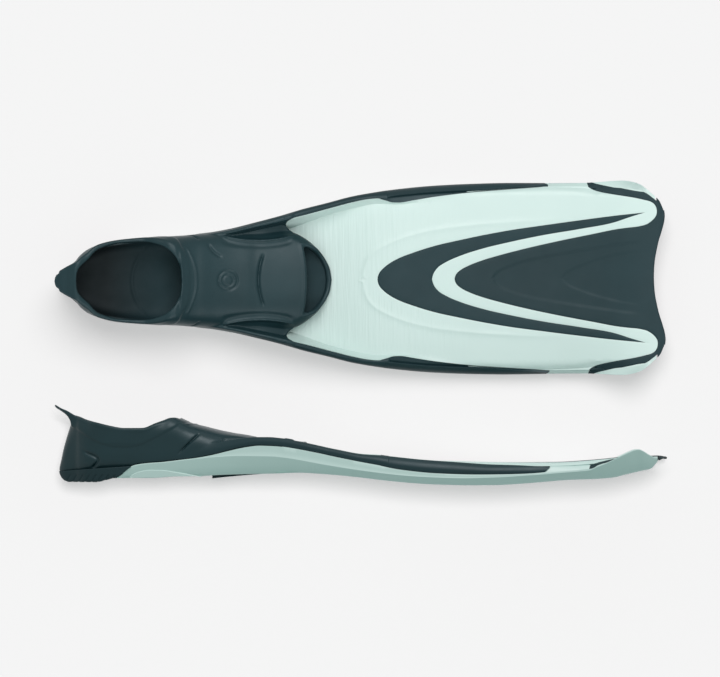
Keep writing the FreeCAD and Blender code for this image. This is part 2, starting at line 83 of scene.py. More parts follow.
BOTTOM = [(58, 4.6), (100, 4.8), (125, 6.6), (150, 7.2), (170, 8.6), (200, 9.8), (230, 10.6), (255, 11.6),
          (275, 10.8), (297, 9.2), (320, 7.0), (341, 4.6), (370, 2.0), (398, 0.5), (430, 0.0), (461, 0.4),
          (486, 2.0), (511, 4.2), (536, 6.4), (562, 7.5), (582, 9.2), (597, 12.8), (612, 16.5), (622, 18.8),
          (626, 22.8), (629.5, 26.8), (638, 30.2), (644, 30.6)]
PLATE = [(64, 10.0), (200, 13.6), (240, 15.6), (270, 17.0), (290, 19.2), (312, 22.4), (335, 24.8),
         (360, 25.4), (398, 24.6), (461, 23.6), (524, 24.6), (562, 27.2), (600, 31.0), (625, 32.0),
         (631, 32.2), (638, 31.2), (644, 31.0)]
# top and inner side of the rail, and the foot of the slope that rises to it
RAIL_TOP = [(140, 36.0), (158, 41.4), (182, 45.9), (208, 48.8), (222, 48.9), (234, 47.9), (247, 45.9),
            (255, 44.4), (272, 41.0), (288, 37.6), (297, 35.9), (308, 33.8), (318, 32.4), (326, 31.9),
            (335, 31.6), (348, 30.1), (362, 28.7), (377, 27.2), (392, 26.1), (421, 24.3), (436, 23.3),
            (450, 22.4), (480, 21.6), (515, 20.7), (540, 21.0), (562, 22.6), (590, 28.6), (606, 31.4),
            (631, 31.8), (638, 31.1), (644, 31.0)]
RAIL_IN = [(140, 44.5), (158, 47.0), (184, 50.6), (209, 55.8), (234, 61.2), (259, 66.9), (284, 73.6),
           (310, 80.4), (327, 83.8), (337, 84.6), (346, 82.6), (353, 80.6), (360, 80.4), (373, 82.4),
           (398, 86.4), (436, 90.7), (474, 93.5), (505, 95.6), (515, 96.4), (540, 96.4), (562, 96.4),
           (573, 95.8), (597, 94.0), (606, 93.0), (613, 91.6), (620, 88.4), (625, 84.8), (633, 78.0),
           (637.4, 70.6)]
SLOPE_IN = [(64, 34.0), (140, 40.0), (240, 53.0), (255, 57.6), (287, 69.0), (318, 76.6), (336, 79.6),
            (346, 79.6), (360, 79.0), (398, 83.5), (436, 86.8), (474, 88.2), (524, 88.4), (562, 87.6),
            (597, 86.0), (613, 84.0), (625, 78.0), (637.4, 66.0)]
# how much the winglet stands out, and how much the flank leans in for each mm of height
WING = [(560, 0.0), (568, 0.6), (576, 1.4), (584, 2.2), (597, 3.0), (606, 2.4), (613, 1.6), (620, 0.7),
        (628, 0.0)]
LEAN = [(62, 0.30), (240, 0.45), (300, 0.62), (350, 0.95), (540, 0.95), (570, 0.70), (606, 0.62),
        (628, 0.5)]

# ------------------------------------------------------------------ the foot pocket along the fin
# half width and rim height of the shoe, how much higher its middle is, and how square it is
SHOE_HALF = [(3.0, 4.0), (4.6, 6.8), (8.5, 11.6), (13.5, 16.0), (20, 21.6), (24.7, 27.0), (31.4, 32.2),
             (38.1, 35.3), (45, 37.8), (53.6, 40.1), (62, 41.6), (72, 42.8), (90, 44.4), (110, 46.2),
             (133, 47.6), (158, 49.8), (184, 51.0), (210, 51.6), (240, 51.6), (286, 51.6)]
SHOE_TOP = [(3.0, 15.0), (4.9, 24.0), (7.1, 34.5), (11.1, 49.0), (15.6, 62.0), (20, 69.0), (31, 65.2),
            (40, 62.6), (56, 59.0), (72, 56.8), (85, 56.8), (90, 56.9), (104, 62.2), (112, 65.3),
            (119, 67.9), (124, 68.3), (128, 67.3), (133.4, 65.3), (141, 63.0), (147, 61.4), (153, 60.2),
            (166, 57.0), (180, 54.0), (188, 52.6), (200, 50.8), (210, 49.0), (218, 48.2), (240, 46.0),
            (256, 44.4), (270, 42.2), (286, 39.4)]
LIFT = [(16, 2.0), (24, 4.4), (31.4, 5.3), (42, 9.5), (85, 10.0), (98, 6.5), (106, 4.5), (112, 3.6),
        (119, 3.0), (124, 2.0), (130, 1.0), (134, 0.4), (140, 0.0)]
ROUND = [(3.8, 2.2), (16, 2.8), (24, 3.5), (31.4, 3.5), (38, 4.6), (46, 7.0), (85, 8.0), (98, 6.5),
         (106, 5.5), (112, 4.8), (122, 4.2), (132, 3.6), (146, 3.1), (165, 2.8), (200, 2.7)]
FOOT_FLOOR = [(16, 13.5), (60, 11.6), (120, 13.2), (170, 14.8), (215, 16.2), (255, 18.6), (300, 21.6)]
# lower edge of the collar, top of the webs, place of the beads beside the instep
CUFF = [(19.5, 57.0), (32.8, 47.9), (46.2, 41.0), (59.6, 37.8), (73, 37.3), (86.4, 39.4), (99.8, 45.6),
        (113, 52.6), (124, 59.0), (130.6, 64.0)]
WEB = [(150, 41.0), (171, 43.2), (180, 41.8), (192, 40.2), (205, 38.6), (218, 36.6), (230, 33.6),
       (240, 30.6), (246, 29.6)]
BEAD = [(172, 48.0), (178.5, 46.2), (190, 43.9), (202.7, 42.6), (215, 42.2), (232, 43.6), (247, 46.7)]
# top of the sunk panel on the blade's flank, under the arch of the foot
ARCH = [(75.6, 4.1), (80.0, 8.0), (86.1, 11.0), (99.8, 13.2), (113.4, 12.8), (126.5, 10.8), (139.6, 8.6),
        (153.3, 6.4)]
# half width, top and underside of the heel tab
TAB_HALF = [(-2.4, 3.8), (-1.2, 7.0), (0.6, 9.4), (3.6, 11.4), (6.0, 12.8), (11.3, 15.8), (18.0, 19.2),
            (22.0, 21.3)]
TAB_TOP = [(-2.4, 81.6), (5.0, 77.0), (10.0, 75.0), (16.0, 71.6), (20.0, 69.4), (26, 67)]
TAB_LOW = [(-2.4, 78.9), (0.0, 77.0), (5.2, 73.8), (10.5, 69.6), (13.6, 65.0), (16.0, 58.0), (20.0, 57.0)]
# underside of the heel's tread, and the height of its upper seam at the heel with its rise
OUTSOLE_LOW = [(2.8, 9.0), (4.8, 5.4), (7.0, 2.8), (9.5, 1.0), (13.0, 0.0), (42.0, 0.0), (52.0, 2.2),
               (62.0, 4.4), (80.0, 4.8)]
HEEL_SEAM, HEEL_RISE = 11.0, 0.078

# ------------------------------------------------------------------ outlines
# ankle opening; inside and outside of the wall round the toes
OPENING = [(21.5, 0.0), (23.3, 8.0), (26.7, 15.2), (31.5, 21.0), (38.1, 27.1), (44.5, 32.0), (51.5, 36.5),
           (60, 39.4), (73, 40.6), (92, 40.4), (103, 38.8), (111.7, 36.2), (119, 31.4), (123.8, 26.6),
           (129.8, 14.7), (131.4, 0.0)]
TOE_HOLE = [(243, 45.6), (252, 41.0), (261, 35.6), (268.3, 31.0), (275.5, 23.5), (281.5, 10.8), (283, 0.0)]
TOE_ARC = [(243, 51.6), (252, 48.4), (262, 42.6), (272, 34.0), (280, 24.0), (286, 12.0), (288, 0.0)]
# creases: two on the side of the shoe, in x and z, and one on the instep
FOLD = [(149.3, 51.5), (144.0, 46.3), (134.6, 37.5), (126.6, 28.8)]
MARK = [(28.0, 32.6), (44.0, 22.4), (39.5, 16.4)]
INSTEP_CREASE = [(158.6, 39.9), (161.4, 34.0), (165.0, 29.4), (172.0, 25.2), (175.0, 24.6)]
# chevron, tip panel with its round end, and the band that runs from it over the rail
CHEVRON_OUT = [(336.6, 0.0), (337.0, 3.0), (338.4, 6.6), (343, 12.0), (350, 17.3), (360, 22.6), (373, 27.5),
               (398, 35.2), (423, 40.8), (448, 45.9), (474, 50.5), (511, 55.7), (549, 60.7), (587, 65.3),
               (618, 68.4)]
CHEVRON_IN = [(394, 0.0), (394.6, 3.2), (396.4, 7.4), (400, 12.0), (410, 18.4), (423, 24.0), (448, 31.9),
              (474, 38.0), (511, 45.4), (549, 51.5), (587, 58.6), (602, 63.6), (618, 68.4)]
PANEL_OUT = [(417.6, 0.0), (418.2, 2.6), (420.0, 6.0), (424.0, 9.4), (434.0, 14.6), (447.5, 19.6),
             (465.2, 24.7), (486, 30.0), (524, 38.5), (562, 46.0), (591, 51.5), (600, 52.6), (612, 54.0)]
PANEL_END = [(620.0, 56.2), (625.2, 59.6), (628.2, 62.6), (630.3, 66.5), (630.6, 70.0), (629.8, 74.0),
             (627.9, 77.2), (624.0, 79.8)]
BAND_IN = [(618.3, 81.4), (612.2, 82.9), (600, 85.2), (591.2, 86.6), (582.8, 88.1), (573.3, 89.9),
           (566.0, 91.9), (561.0, 94.2), (557.0, 97.4), (553.5, 101.2)]
BAND_OUT = [(569.5, 101.2), (570.8, 99.4), (574.5, 97.9), (583, 96.2), (591.2, 94.6), (603, 92.3),
            (612.2, 90.6), (618.5, 90.2), (622.0, 91.6), (624.5, 95.0)]
TIP_EDGE = [(637.4, 70.6), (638.0, 65.6), (637.6, 60.6), (635.0, 50.0), (631.6, 39.2), (629.0, 28.0),
            (627.2, 18.0), (626.4, 9.0), (626.1, 0.0)]
# raised line round the chevron, and the two steps in the tip panel
RIB = [(321.5, 0), (321.8, 6), (322.8, 12.3), (326.0, 20.9), (332.8, 28.8), (344.2, 35.6), (362.4, 43.2),
       (388.6, 50.2), (433.7, 56.4), (490, 60.2), (560, 64.0)]
FIRST_STEP = [(457, -3.0), (460, 4.5), (466, 9.0), (478, 14.0), (490.7, 18.0), (524.8, 24.8), (560, 30.5),
              (593, 35.5), (640, 41.0)]
SECOND_STEP = [(530.5, -3.0), (531.6, 0.0), (534, 5.0), (547.6, 11.9), (570.4, 19.8), (593, 25.4),
               (615.9, 28.7), (640, 31.0)]


# ------------------------------------------------------------------ curves and plan lines
def slopes(xs, ys):
    """Slopes for a curve that doesn't swing past its points."""
    d = np.diff(ys) / np.diff(xs)
    m = np.zeros(len(xs))
    prod = d[:-1] * d[1:]
    ok = prod > 0
    m[1:-1][ok] = 2 * prod[ok] / (d[:-1] + d[1:])[ok]
    m[0], m[-1] = d[0], d[-1]
    return m


def hermite(xs, ys, m, q):
    """Smooth curve through (xs, ys) with slopes m, at the places q."""
    k = np.clip(np.searchsorted(xs, q, side="right") - 1, 0, len(xs) - 2)
    h = xs[k + 1] - xs[k]
    t = (q - xs[k]) / h
    return ((2 * t ** 3 - 3 * t ** 2 + 1) * ys[k] + (t ** 3 - 2 * t ** 2 + t) * m[k] * h
            + (3 * t ** 2 - 2 * t ** 3) * ys[k + 1] + (t ** 3 - t ** 2) * m[k + 1] * h)


CURVES = {}


def along(table, x):
    """Smooth value of a table at x, for one number or an array."""
    if id(table) not in CURVES:
        xs, ys = np.array(table, float).T
        CURVES[id(table)] = (xs, ys, slopes(xs, ys))
    xs, ys, m = CURVES[id(table)]
    return hermite(xs, ys, m, np.clip(np.asarray(x, float), xs[0], xs[-1]))


def smooth(a, b, v):
    t = np.clip((np.asarray(v, float) - a) / (b - a), 0, 1)
    return t * t * (3 - 2 * t)


def mix(a, b, t):
    return a + (b - a) * t


def resample(points, gap):
    """Round curve through plan points, at even steps."""
    p = np.array(points, float)
    s = np.concatenate([[0], np.cumsum(np.hypot(*np.diff(p, axis=0).T))])
    q = np.linspace(0, s[-1], max(2, int(round(s[-1] / gap)) + 1))
    return np.array([hermite(s, p[:, c], np.gradient(p[:, c], s), q) for c in range(2)]).T


def inside(poly, pts):
    """Even-odd test of plan points against a closed outline."""
    x, y = pts[:, 0], pts[:, 1]
    hit = np.zeros(len(pts), bool)
    a = np.asarray(poly)
    b = np.roll(a, -1, axis=0)
    for (x0, y0), (x1, y1) in zip(a, b):
        if y0 == y1:
            continue
        cross = (y0 > y) != (y1 > y)
        hit ^= cross & (x < (x1 - x0) * (y - y0) / (y1 - y0) + x0)
    return hit


def distance_to(line, pts):
    """Plan distance from points to a polyline."""
    best = np.full(len(pts), 1e9)
    for a, b in zip(line[:-1], line[1:]):
        d = b - a
        t = np.clip(((pts - a) @ d) / max(d @ d, 1e-9), 0, 1)
        best = np.minimum(best, np.hypot(*(pts - a - t[:, None] * d).T))
    return best


def nearest(lines, pts):
    """Plan distance from points to the nearest of some polylines."""
    return np.min([distance_to(line, pts) for line in lines], axis=0)


# ------------------------------------------------------------------ mesh helpers
class Shape:
    """Growing list of vertices and faces, in the fin's own frame."""

    def __init__(self):
        self.v, self.f, self.n = [], [], 0

    def add(self, verts, faces):
        self.v.append(np.asarray(verts, float).reshape(-1, 3))
        self.f.extend([tuple(int(i) + self.n for i in f) for f in faces])
        self.n += len(self.v[-1])

    def grid(self, rows, closed=False, caps=False):
        """Rows of points (rows, columns, 3) joined as a surface."""
        rows = np.asarray(rows, float)
        r, c = rows.shape[:2]
        faces = []
        for i in range(r - 1):
            for j in range(c if closed else c - 1):
                k = (j + 1) % c
                faces.append((i * c + j, i * c + k, (i + 1) * c + k, (i + 1) * c + j))
        if caps:
            faces.append(tuple(range(c))[::-1])
            faces.append(tuple((r - 1) * c + j for j in range(c)))
        self.add(rows.reshape(-1, 3), faces)

    def mirror(self):
        """Adds the other half, y to -y."""
        v = np.concatenate(self.v)
        self.f.extend([tuple(i + self.n for i in reversed(f)) for f in list(self.f)])
        self.v = [v, v * np.array([1, -1, 1])]
        self.n *= 2

    def mesh(self, name):
        me = bpy.data.meshes.new(name)
        me.from_pydata((np.concatenate(self.v) * MM).tolist(), [], self.f)
        bm = bmesh.new()
        bm.from_mesh(me)
        bmesh.ops.remove_doubles(bm, verts=bm.verts, dist=WELD * MM)
        bmesh.ops.dissolve_degenerate(bm, edges=bm.edges, dist=WELD * MM * 0.5)
        bmesh.ops.recalc_face_normals(bm, faces=bm.faces)
        bm.to_mesh(me)
        bm.free()
        return me


def rows_of(xs, profile):
    """One row of points for each x, from a profile of (y, z) pairs."""
    return np.stack([np.stack([xs + 0 * y, y + 0 * xs, z + 0 * xs], 1) for y, z in profile], 1)


def set_smooth(me, angle):
    """Smooth shading with edges sharper than angle left crisp."""
    me.polygons.foreach_set("use_smooth", np.ones(len(me.polygons), bool))
    me.set_sharp_from_angle(angle=math.radians(angle))


# ------------------------------------------------------------------ blade heights
def inner_line(x):
    """Where the plate ends and the edge begins: under the rails, further in beside the shoe."""
    rail = along(RAIL_IN, x)
    by_shoe = along(HALF, x) - mix(7.0, 11.0, smooth(120, 160, x))
    return mix(np.minimum(rail, by_shoe), rail, smooth(224, 236, x))


def slope_foot(x):
    """Foot of the slope that rises to the rail."""
    return np.minimum(along(SLOPE_IN, x), along(RAIL_IN, x) - 1.0)


rib_line = resample(RIB, COARSE)


def rib_height(x, y):
    """A soft raised line that follows the chevron outside it, with a low step inside the line."""
    p = np.stack([np.ravel(x) + 0.0 * np.ravel(y), np.ravel(y) + 0.0 * np.ravel(x)], 1)
    near = (p[:, 0] > 312) & (p[:, 0] < 560)
    lift = np.zeros(len(p))
    if near.any():
        q = p[near]
        d = distance_to(rib_line, q)
        within = inside(np.concatenate([rib_line, [[600, 60], [600, -5], [320, -5]]]), q)
        step = smooth(-1.5, 2.5, np.where(within, d, -d))
        lift[near] = (0.75 * np.exp(-(d / 2.0) ** 2) + 0.3 * step) * (1 - smooth(440, 545, q[:, 0]))
    return lift.reshape(np.broadcast(x, y).shape)


def z_top(x, y):
    """Upper face of the blade: plate, rising to the rails by the foot, falling to the edge further out."""
    y = np.abs(y)
    plate = along(PLATE, x)
    by_heel = np.maximum(np.minimum(plate, along(CREST, x) - 0.4), along(BOTTOM, x) + 0.9)
    top = np.where(np.asarray(x) < 90, by_heel, plate)
    foot = slope_foot(x)
    t = np.clip((y - foot) / (along(RAIL_IN, x) - foot), 0, 1)
    rise = (along(RAIL_TOP, x) - 0.3 - top) * smooth(232, 240, x)
    up = np.where(rise > 0, t, t ** mix(1.8, 0.75, smooth(540, 566, x)))
    return top + rise * up + rib_height(x, y)


def z_low(x, y):
    """Under face: plate in the middle, sole tray at the foot."""
    mid = along(PLATE, x) - MEMBRANE * (1 - 0.4 * smooth(600, 636, x))
    return mix(along(BOTTOM, x) + 0.4, mid, smooth(205, 262, x)) + 0 * y


# ------------------------------------------------------------------ plan of the blade
chev_out, chev_in = resample(CHEVRON_OUT, FINE), resample(CHEVRON_IN, FINE)
panel_line = resample(PANEL_OUT + PANEL_END + BAND_IN, FINE)
band_line = resample(BAND_OUT, FINE)
tip_line = resample(TIP_EDGE, FINE)
inlays = [chev_out, chev_in, panel_line, band_line]
soft_lines = [rib_line, resample(FIRST_STEP, COARSE), resample(SECOND_STEP, COARSE)]
side_x = [np.arange(EDGE_START, 560, 2.6), np.arange(560, EDGE_END, 1.3), [EDGE_END]]
side_x = np.unique(np.round(np.concatenate(side_x), 3))
side_line = np.stack([side_x, inner_line(side_x)], 1)
domain = np.concatenate([[[EDGE_START, 0]], side_line, tip_line[1:]])
CHEVRON = np.concatenate([chev_out, chev_in[::-1]])
TIP = np.concatenate([panel_line, [[553.5, TIP_FAR], [571, TIP_FAR]], band_line,
                      [[624.5, TIP_FAR], [660, TIP_FAR], [660, -1], [419, -1]]])


def beside(line, offsets, lowest):
    """A plan line moved sideways by each offset, as far as it lies in the half plan."""
    d = np.gradient(line, axis=0)
    n = np.stack([-d[:, 1], d[:, 0]], 1) / np.hypot(d[:, 0], d[:, 1])[:, None]
    for off in offsets:
        side = line + n * off
        yield off, side[(side[:, 1] > lowest) & inside(domain, side)]


def plan_mesh():
    """Points and triangles of the half plan, with the inlays' outlines and the slope's foot as edges."""
    pts, links = [], []

    def add(points):
        pts.extend([Vector((float(x), float(y))) for x, y in points])

    def keep(line, closed=False):
        start, count = len(pts), len(line)
        add(line)
        links.extend([(start + i, start + i + 1) for i in range(count - 1)])
        if closed:
            links.append((start + count - 1, start))

    foot_x = side_x[(side_x > SLOPE_START) & (side_x < 540)][::2]
    foot_line = np.stack([foot_x, slope_foot(foot_x)], 1)
    keep(domain, True)
    for line in [foot_line] + inlays:
        keep(line)
    for line in inlays:
        for off, side in beside(line, (-1.6, -0.55, 0.55, 1.6), 0.3):
            add(side[nearest(inlays, side) > abs(off) - 0.05])
    xs = side_x[::2]
    foot = slope_foot(xs)
    for t in (0.2, 0.4, 0.6, 0.8, -0.3):
        row = np.stack([xs, foot + (along(RAIL_IN, xs) - foot) * t], 1)
        add(row[(nearest(inlays, row) > 1.2) & (xs > SLOPE_START)])
    for line in soft_lines:
        for off, side in beside(line, (-2.4, -1.0, 0.0, 1.0, 2.4), 0.4):
            add(side[nearest(inlays + [tip_line], side) > 2.0])
    gx, gy = np.meshgrid(np.arange(66, 638, 4.0), np.arange(0, 96, 3.0))
    grid = np.stack([gx.ravel() + (np.floor(gy.ravel() / 3.0) % 2) * 2.0, gy.ravel()], 1)
    ok = inside(domain, grid + [0, 0.01])
    for lines, gap in (([side_line], 1.6), ([tip_line], 1.2), ([foot_line], 1.8),
                       (soft_lines, 3.6), (inlays, 2.4)):
        ok &= nearest(lines, grid) > gap
    add(grid[ok])
    verts, _, faces, *_ = delaunay_2d_cdt(pts, links, [], 0, 1e-4)
    flat = np.array([[v.x, v.y] for v in verts])
    tri = np.array([f for f in faces if len(f) == 3])
    return flat, tri[inside(domain, flat[tri].mean(1))]


flat, tri = plan_mesh()
centre = flat[tri].mean(1)
in_chevron, in_tip = inside(CHEVRON, centre), inside(TIP, centre)
regions = {"blade": ~in_chevron & ~in_tip, "chevron": in_chevron, "tip": in_tip & ~in_chevron}
gap_to = nearest(inlays, flat)


def panel_relief(x, y):
    """Two shallow steps down towards the middle of the tip panel."""
    first = smooth(1.3, -1.3, y - along(FIRST_STEP, x)) * (x > FIRST_STEP[0][0])
    second = smooth(0.9, -0.9, y - along(SECOND_STEP, x)) * (x > SECOND_STEP[0][0])
    return (-0.8 * first - 0.5 * second) * smooth(618, 586, x)


def region_faces(name):
    """Upper face, under face and inner walls of one region of the plate."""
    t = tri[regions[name]]
    used = np.unique(t)
    place = np.full(len(flat), -1)
    place[used] = np.arange(len(used))
    p = flat[used]
    x, y = p[:, 0], p[:, 1]
    z1, z0 = z_top(x, y), z_low(x, y)
    d = gap_to[used]
    if name == "blade":
        z1 = z1 - 0.22 * (1 - smooth(0.0, 0.9, d))
    else:
        z1 = z1 + 0.42 * smooth(-0.2, 1.2, d) - 0.16 * (1 - smooth(0, 0.5, d))
        z0 = z0 - 0.3 * smooth(0, 1.0, d) * smooth(15, 19, along(HALF, x) - y)
    if name == "tip":
        z1 = z1 + panel_relief(x, y) * smooth(1.0, 4.0, d) * (y < 50)
    t = place[t]
    u, w = p[t[:, 1]] - p[t[:, 0]], p[t[:, 2]] - p[t[:, 0]]
    turned = u[:, 0] * w[:, 1] - u[:, 1] * w[:, 0] < 0
    t[turned] = t[turned][:, ::-1]
    n = len(p)
    faces = [tuple(f) for f in t] + [tuple(f[::-1] + n) for f in t]
    sides = {}
    for f in t:
        for a, b in ((f[0], f[1]), (f[1], f[2]), (f[2], f[0])):
            if (b, a) in sides:
                del sides[b, a]
            else:
                sides[a, b] = True
    rim = np.concatenate([side_line, tip_line])
    for a, b in sides:
        in_middle = p[a, 1] < 1e-3 and p[b, 1] < 1e-3
        if not in_middle and distance_to(rim, (p[a] + p[b])[None] / 2)[0] >= 0.05:
            faces.append((b, a, a + n, b + n))
    return np.concatenate([np.column_stack([p, z1]), np.column_stack([p, z0])]), faces


def edge_profile(x):
    """Outer edge of the blade: from its inner top corner out, under and back. It is a wing at the tip."""
    wing = smooth(556, 570, x) * (1 - smooth(627, 630, x))
    half = along(HALF, x) + along(WING, x)
    rail, inner = along(RAIL_TOP, x) - 0.3, inner_line(x)
    crest, low = along(CREST, x), along(BOTTOM, x)
    crest = mix(np.minimum(crest, rail - 0.6), crest, wing)
    crest = np.maximum(crest, low + 0.4)
    ridge = np.maximum(np.minimum(along(RIDGE, x), crest - 0.2), low + 0.2)
    start = z_top(x, inner)
    tall = mix(mix(start, rail, smooth(236, 243, x)), start, wing)
    up = half - 0.1
    r = np.minimum(2.2, (ridge - low) * 0.3)
    lean = np.minimum(along(LEAN, x) * (ridge - low), mix(8.5, 14.0, wing))
    foot = half - lean - r
    under = z_low(x, inner)
    return [(inner, start),
            (mix(inner, up, 0.3), mix(tall, crest, 0.24)),
            (mix(inner, up, 0.66), mix(tall, crest, 0.58)),
            (up, crest),
            (mix(up, half, 0.5), mix(crest, ridge, 0.5)),
            (half - 0.15, ridge + 0.1),
            (half, ridge - 0.2),
            (half - lean * 0.06, mix(ridge, low, 0.08)),
            (half - lean * 0.5, mix(ridge, low, 0.5)),
            (half - lean * 0.92, low + r),
            (half - lean - r * 0.3, low + r * 0.35),
            (foot, low),
            (foot - 2.0, low + 0.3),
            (np.minimum(inner, foot - 2.2), np.minimum(under, mix(low, ridge, 0.6))),
            (inner, under)]


FLANK_TOP, FLANK_FOOT = 6, 9  # places in the edge's profile


def edge_rows(x0, x1):
    xs = side_x[(side_x >= x0 - 1e-6) & (side_x <= x1 + 1e-6)]
    return rows_of(xs, edge_profile(xs))


def arch_panel():
    """Rows of the panel on the blade's flank, under the arch of the foot."""
    xs = np.arange(77.0, 152.0, 2.4)
    arch, low, half = along(ARCH, xs), along(BOTTOM, xs) + 0.1, along(HALF, xs)
    profile = edge_profile(xs)
    top, foot = profile[FLANK_TOP][1], profile[FLANK_FOOT][0]
    there = half - np.clip((top - arch) / (top - low), 0, 1) * (half - foot)
    proud = 0.35 * smooth(0.2, 3.5, arch - low)
    within = mix(there, foot, 0.45)
    return rows_of(xs, [(there - 0.5, arch + 0.45), (there + proud, arch - 0.25),
                        (mix(there, within, 0.5) + proud, mix(arch, low, 0.5)),
                        (within + proud, mix(arch, low, 0.92)),
                        (within - 0.3, low + 0.2), (there - 3.0, low)])


def build_blade():
    blade = Shape()
    blade.add(*region_faces("blade"))
    rows = edge_rows(EDGE_START, PANEL_SIDE)
    blade.grid(rows[:, ::-1])
    blade.add(rows[0], [tuple(range(rows.shape[1]))])
    blade.grid(arch_panel()[:, ::-1])
    blade.mirror()
    return blade.mesh("blade")


def build_chevron():
    chevron = Shape()
    chevron.add(*region_faces("chevron"))
    chevron.mirror()
    return chevron.mesh("chevron_insert")


def tip_rim():
    """Rows of the rounded rim along the end of the tip panel."""
    rim = []
    last = len(tip_line) - 1
    for i, (x, y) in enumerate(tip_line):
        a, b = tip_line[max(i - 1, 0)], tip_line[min(i + 1, last)]
        d = (b - a) / np.hypot(*(b - a))
        out = np.array([-d[1], d[0]])
        if out[0] < 0:
            out = -out
        if i == last:
            out = np.array([1.0, 0.0])
        hi = float(z_top(x, y)) + 0.26
        lo = min(float(z_low(x, y)), hi - 1.3)
        rim.append([(x + out[0] * r, y + out[1] * r, z) for r, z in (
            (0, hi - 0.26), (0.1, hi), (0.6, hi - 0.3), (0.95, mix(hi, lo, 0.3)),
            (1.0, mix(hi, lo, 0.6)), (0.6, lo + 0.25), (0, lo))])
    return np.array(rim)


def rail_band():
    """Rows of the band that lies over the rail, from its inner side to the crest."""
    y = np.linspace(95.6, 101.2, 4)
    start = np.interp(y, [p[1] for p in BAND_IN], [p[0] for p in BAND_IN])
    stop = np.interp(-y, [-p[1] for p in BAND_OUT], [p[0] for p in BAND_OUT])
    wrap = []
    for i in range(4):
        xs = mix(start[i] + 1.3 * i, stop[i] - 2.2 * i, np.linspace(0, 1, 9))
        y, z = edge_profile(xs)[i]
        wrap.append(np.stack([xs, y, z], 1))
    wrap = np.array(wrap)
    lift = np.array([[0, 0, 0.3], [0, 0.05, 0.3], [0, 0.2, 0.25], [0, 0.3, 0.1]])[:, None]
    return np.concatenate([wrap + lift, wrap[::-1] - [0, 0.6, 0.6]])


def build_tip():
    tip = Shape()
    tip.add(*region_faces("tip"))
    tip.grid(edge_rows(PANEL_SIDE, EDGE_END)[:, ::-1])
    tip.grid(tip_rim()[:, ::-1])
    tip.grid(rail_band())
    tip.mirror()
    return tip.mesh("tip_panel")


# ------------------------------------------------------------------ rail caps on the blade edges
def cap_profile(x):
    """Cap round the edge: strip inside, groove, rounded outside, and its under side."""
    half, crest, inner, top = along(HALF, x), along(CREST, x), along(RAIL_IN, x), along(RAIL_TOP, x)
    groove = np.maximum(inner + 1.0, half - 7.4)
    deep = 0.9 * smooth(342, 356, x) * (1 - smooth(470, 508, x))
    step = smooth(344, 352, x) * (1 - smooth(480, 512, x))
    drop = top - crest
    strip_z = top - 0.15 - 0.5 * step
    return [(inner, top - 1.4),
            (inner + 0.25, top - 0.35),
            (inner + 0.9, strip_z),
            (mix(inner + 0.9, groove - 0.9, 0.6), strip_z - 0.02 * drop),
            (groove - 1.1, strip_z - 0.06 * drop),
            (groove - 0.3, top - 0.1 * drop - deep),
            (groove + 0.5, top - 0.06 * drop),
            (groove + 1.4, top - 0.05 * drop + 0.35 * step),
            (mix(groove, half, 0.5), top - 0.16 * drop + 0.2 * step),
            (mix(groove, half, 0.78), top - 0.33 * drop),
            (half - 0.4, top - 0.5 * drop),
            (half + 0.15, top - 0.66 * drop),
            (half + 0.1, crest + 0.18 * drop),
            (half - 0.35, crest + 0.4),
            (half - 0.8, crest),
            (half - RAIL_SKIN, crest + 0.4),
            (inner + 0.4, top - RAIL_SKIN)]


def build_rail_cap(name, side):
    """Cap on the edge at +y (side 1) or -y (side -1); its far end slants back from top to crest."""
    bend, low_end, slant = 500.0, RAIL_END - 4.0, 6.0
    xs = np.concatenate([np.arange(STRIP_END - 8, 505, 2.5), np.arange(505, RAIL_END + 3.6, 0.7)])
    rows = rows_of(xs, cap_profile(xs))
    crest = along(CREST, xs)[:, None]
    rise = (rows[:, :, 2] - crest) / np.maximum(along(RAIL_TOP, xs)[:, None] - crest, 1)
    stop = low_end + slant * np.clip(rise, 0, 1)
    x = rows[:, :, 0]
    rows[:, :, 0] = np.where(x > bend, bend + (x - bend) / (RAIL_END + 3.5 - bend) * (stop - bend), x)
    cap = Shape()
    cap.grid(rows * np.array([1, side, 1]), closed=True, caps=True)
    return cap.mesh(name)


# ------------------------------------------------------------------ rubber from a distance field
NOT_HERE = 9.0  # a distance that adds no rubber
ALWAYS = -10.0  # a distance that takes no rubber away


def field(lo, hi, step):
    axes = [np.arange(a, b, step, dtype=np.float32) for a, b in zip(lo, hi)]
    return axes, (axes[0][:, None, None], axes[1][None, :, None], axes[2][None, None, :])


def blend_min(a, b, k):
    h = np.clip(0.5 + 0.5 * (b - a) / k, 0, 1)
    return b + (a - b) * h - k * h * (1 - h)


def blend_max(a, b, k):
    return -blend_min(-a, -b, k)


def f32(v):
    return np.asarray(v, np.float32)


def bell(distance, width):
    """One in the middle of a line, falling softly to none beside it."""
    return np.exp(-(distance / width) ** 2)


def smooth32(a, b, v):
    t = np.clip((v - a) / (b - a), 0, 1)
    return (t * t * (3 - 2 * t)).astype(np.float32)


def table_x(table, X):
    return f32(along(table, X[:, 0, 0]))[:, None, None]


def polish(d):
    """Evens out a distance field once."""
    p = np.pad(d, 1, mode="edge")
    return (2 * d + (p[2:, 1:-1, 1:-1] + p[:-2, 1:-1, 1:-1] + p[1:-1, 2:, 1:-1] + p[1:-1, :-2, 1:-1]
                     + p[1:-1, 1:-1, 2:] + p[1:-1, 1:-1, :-2])) / 8


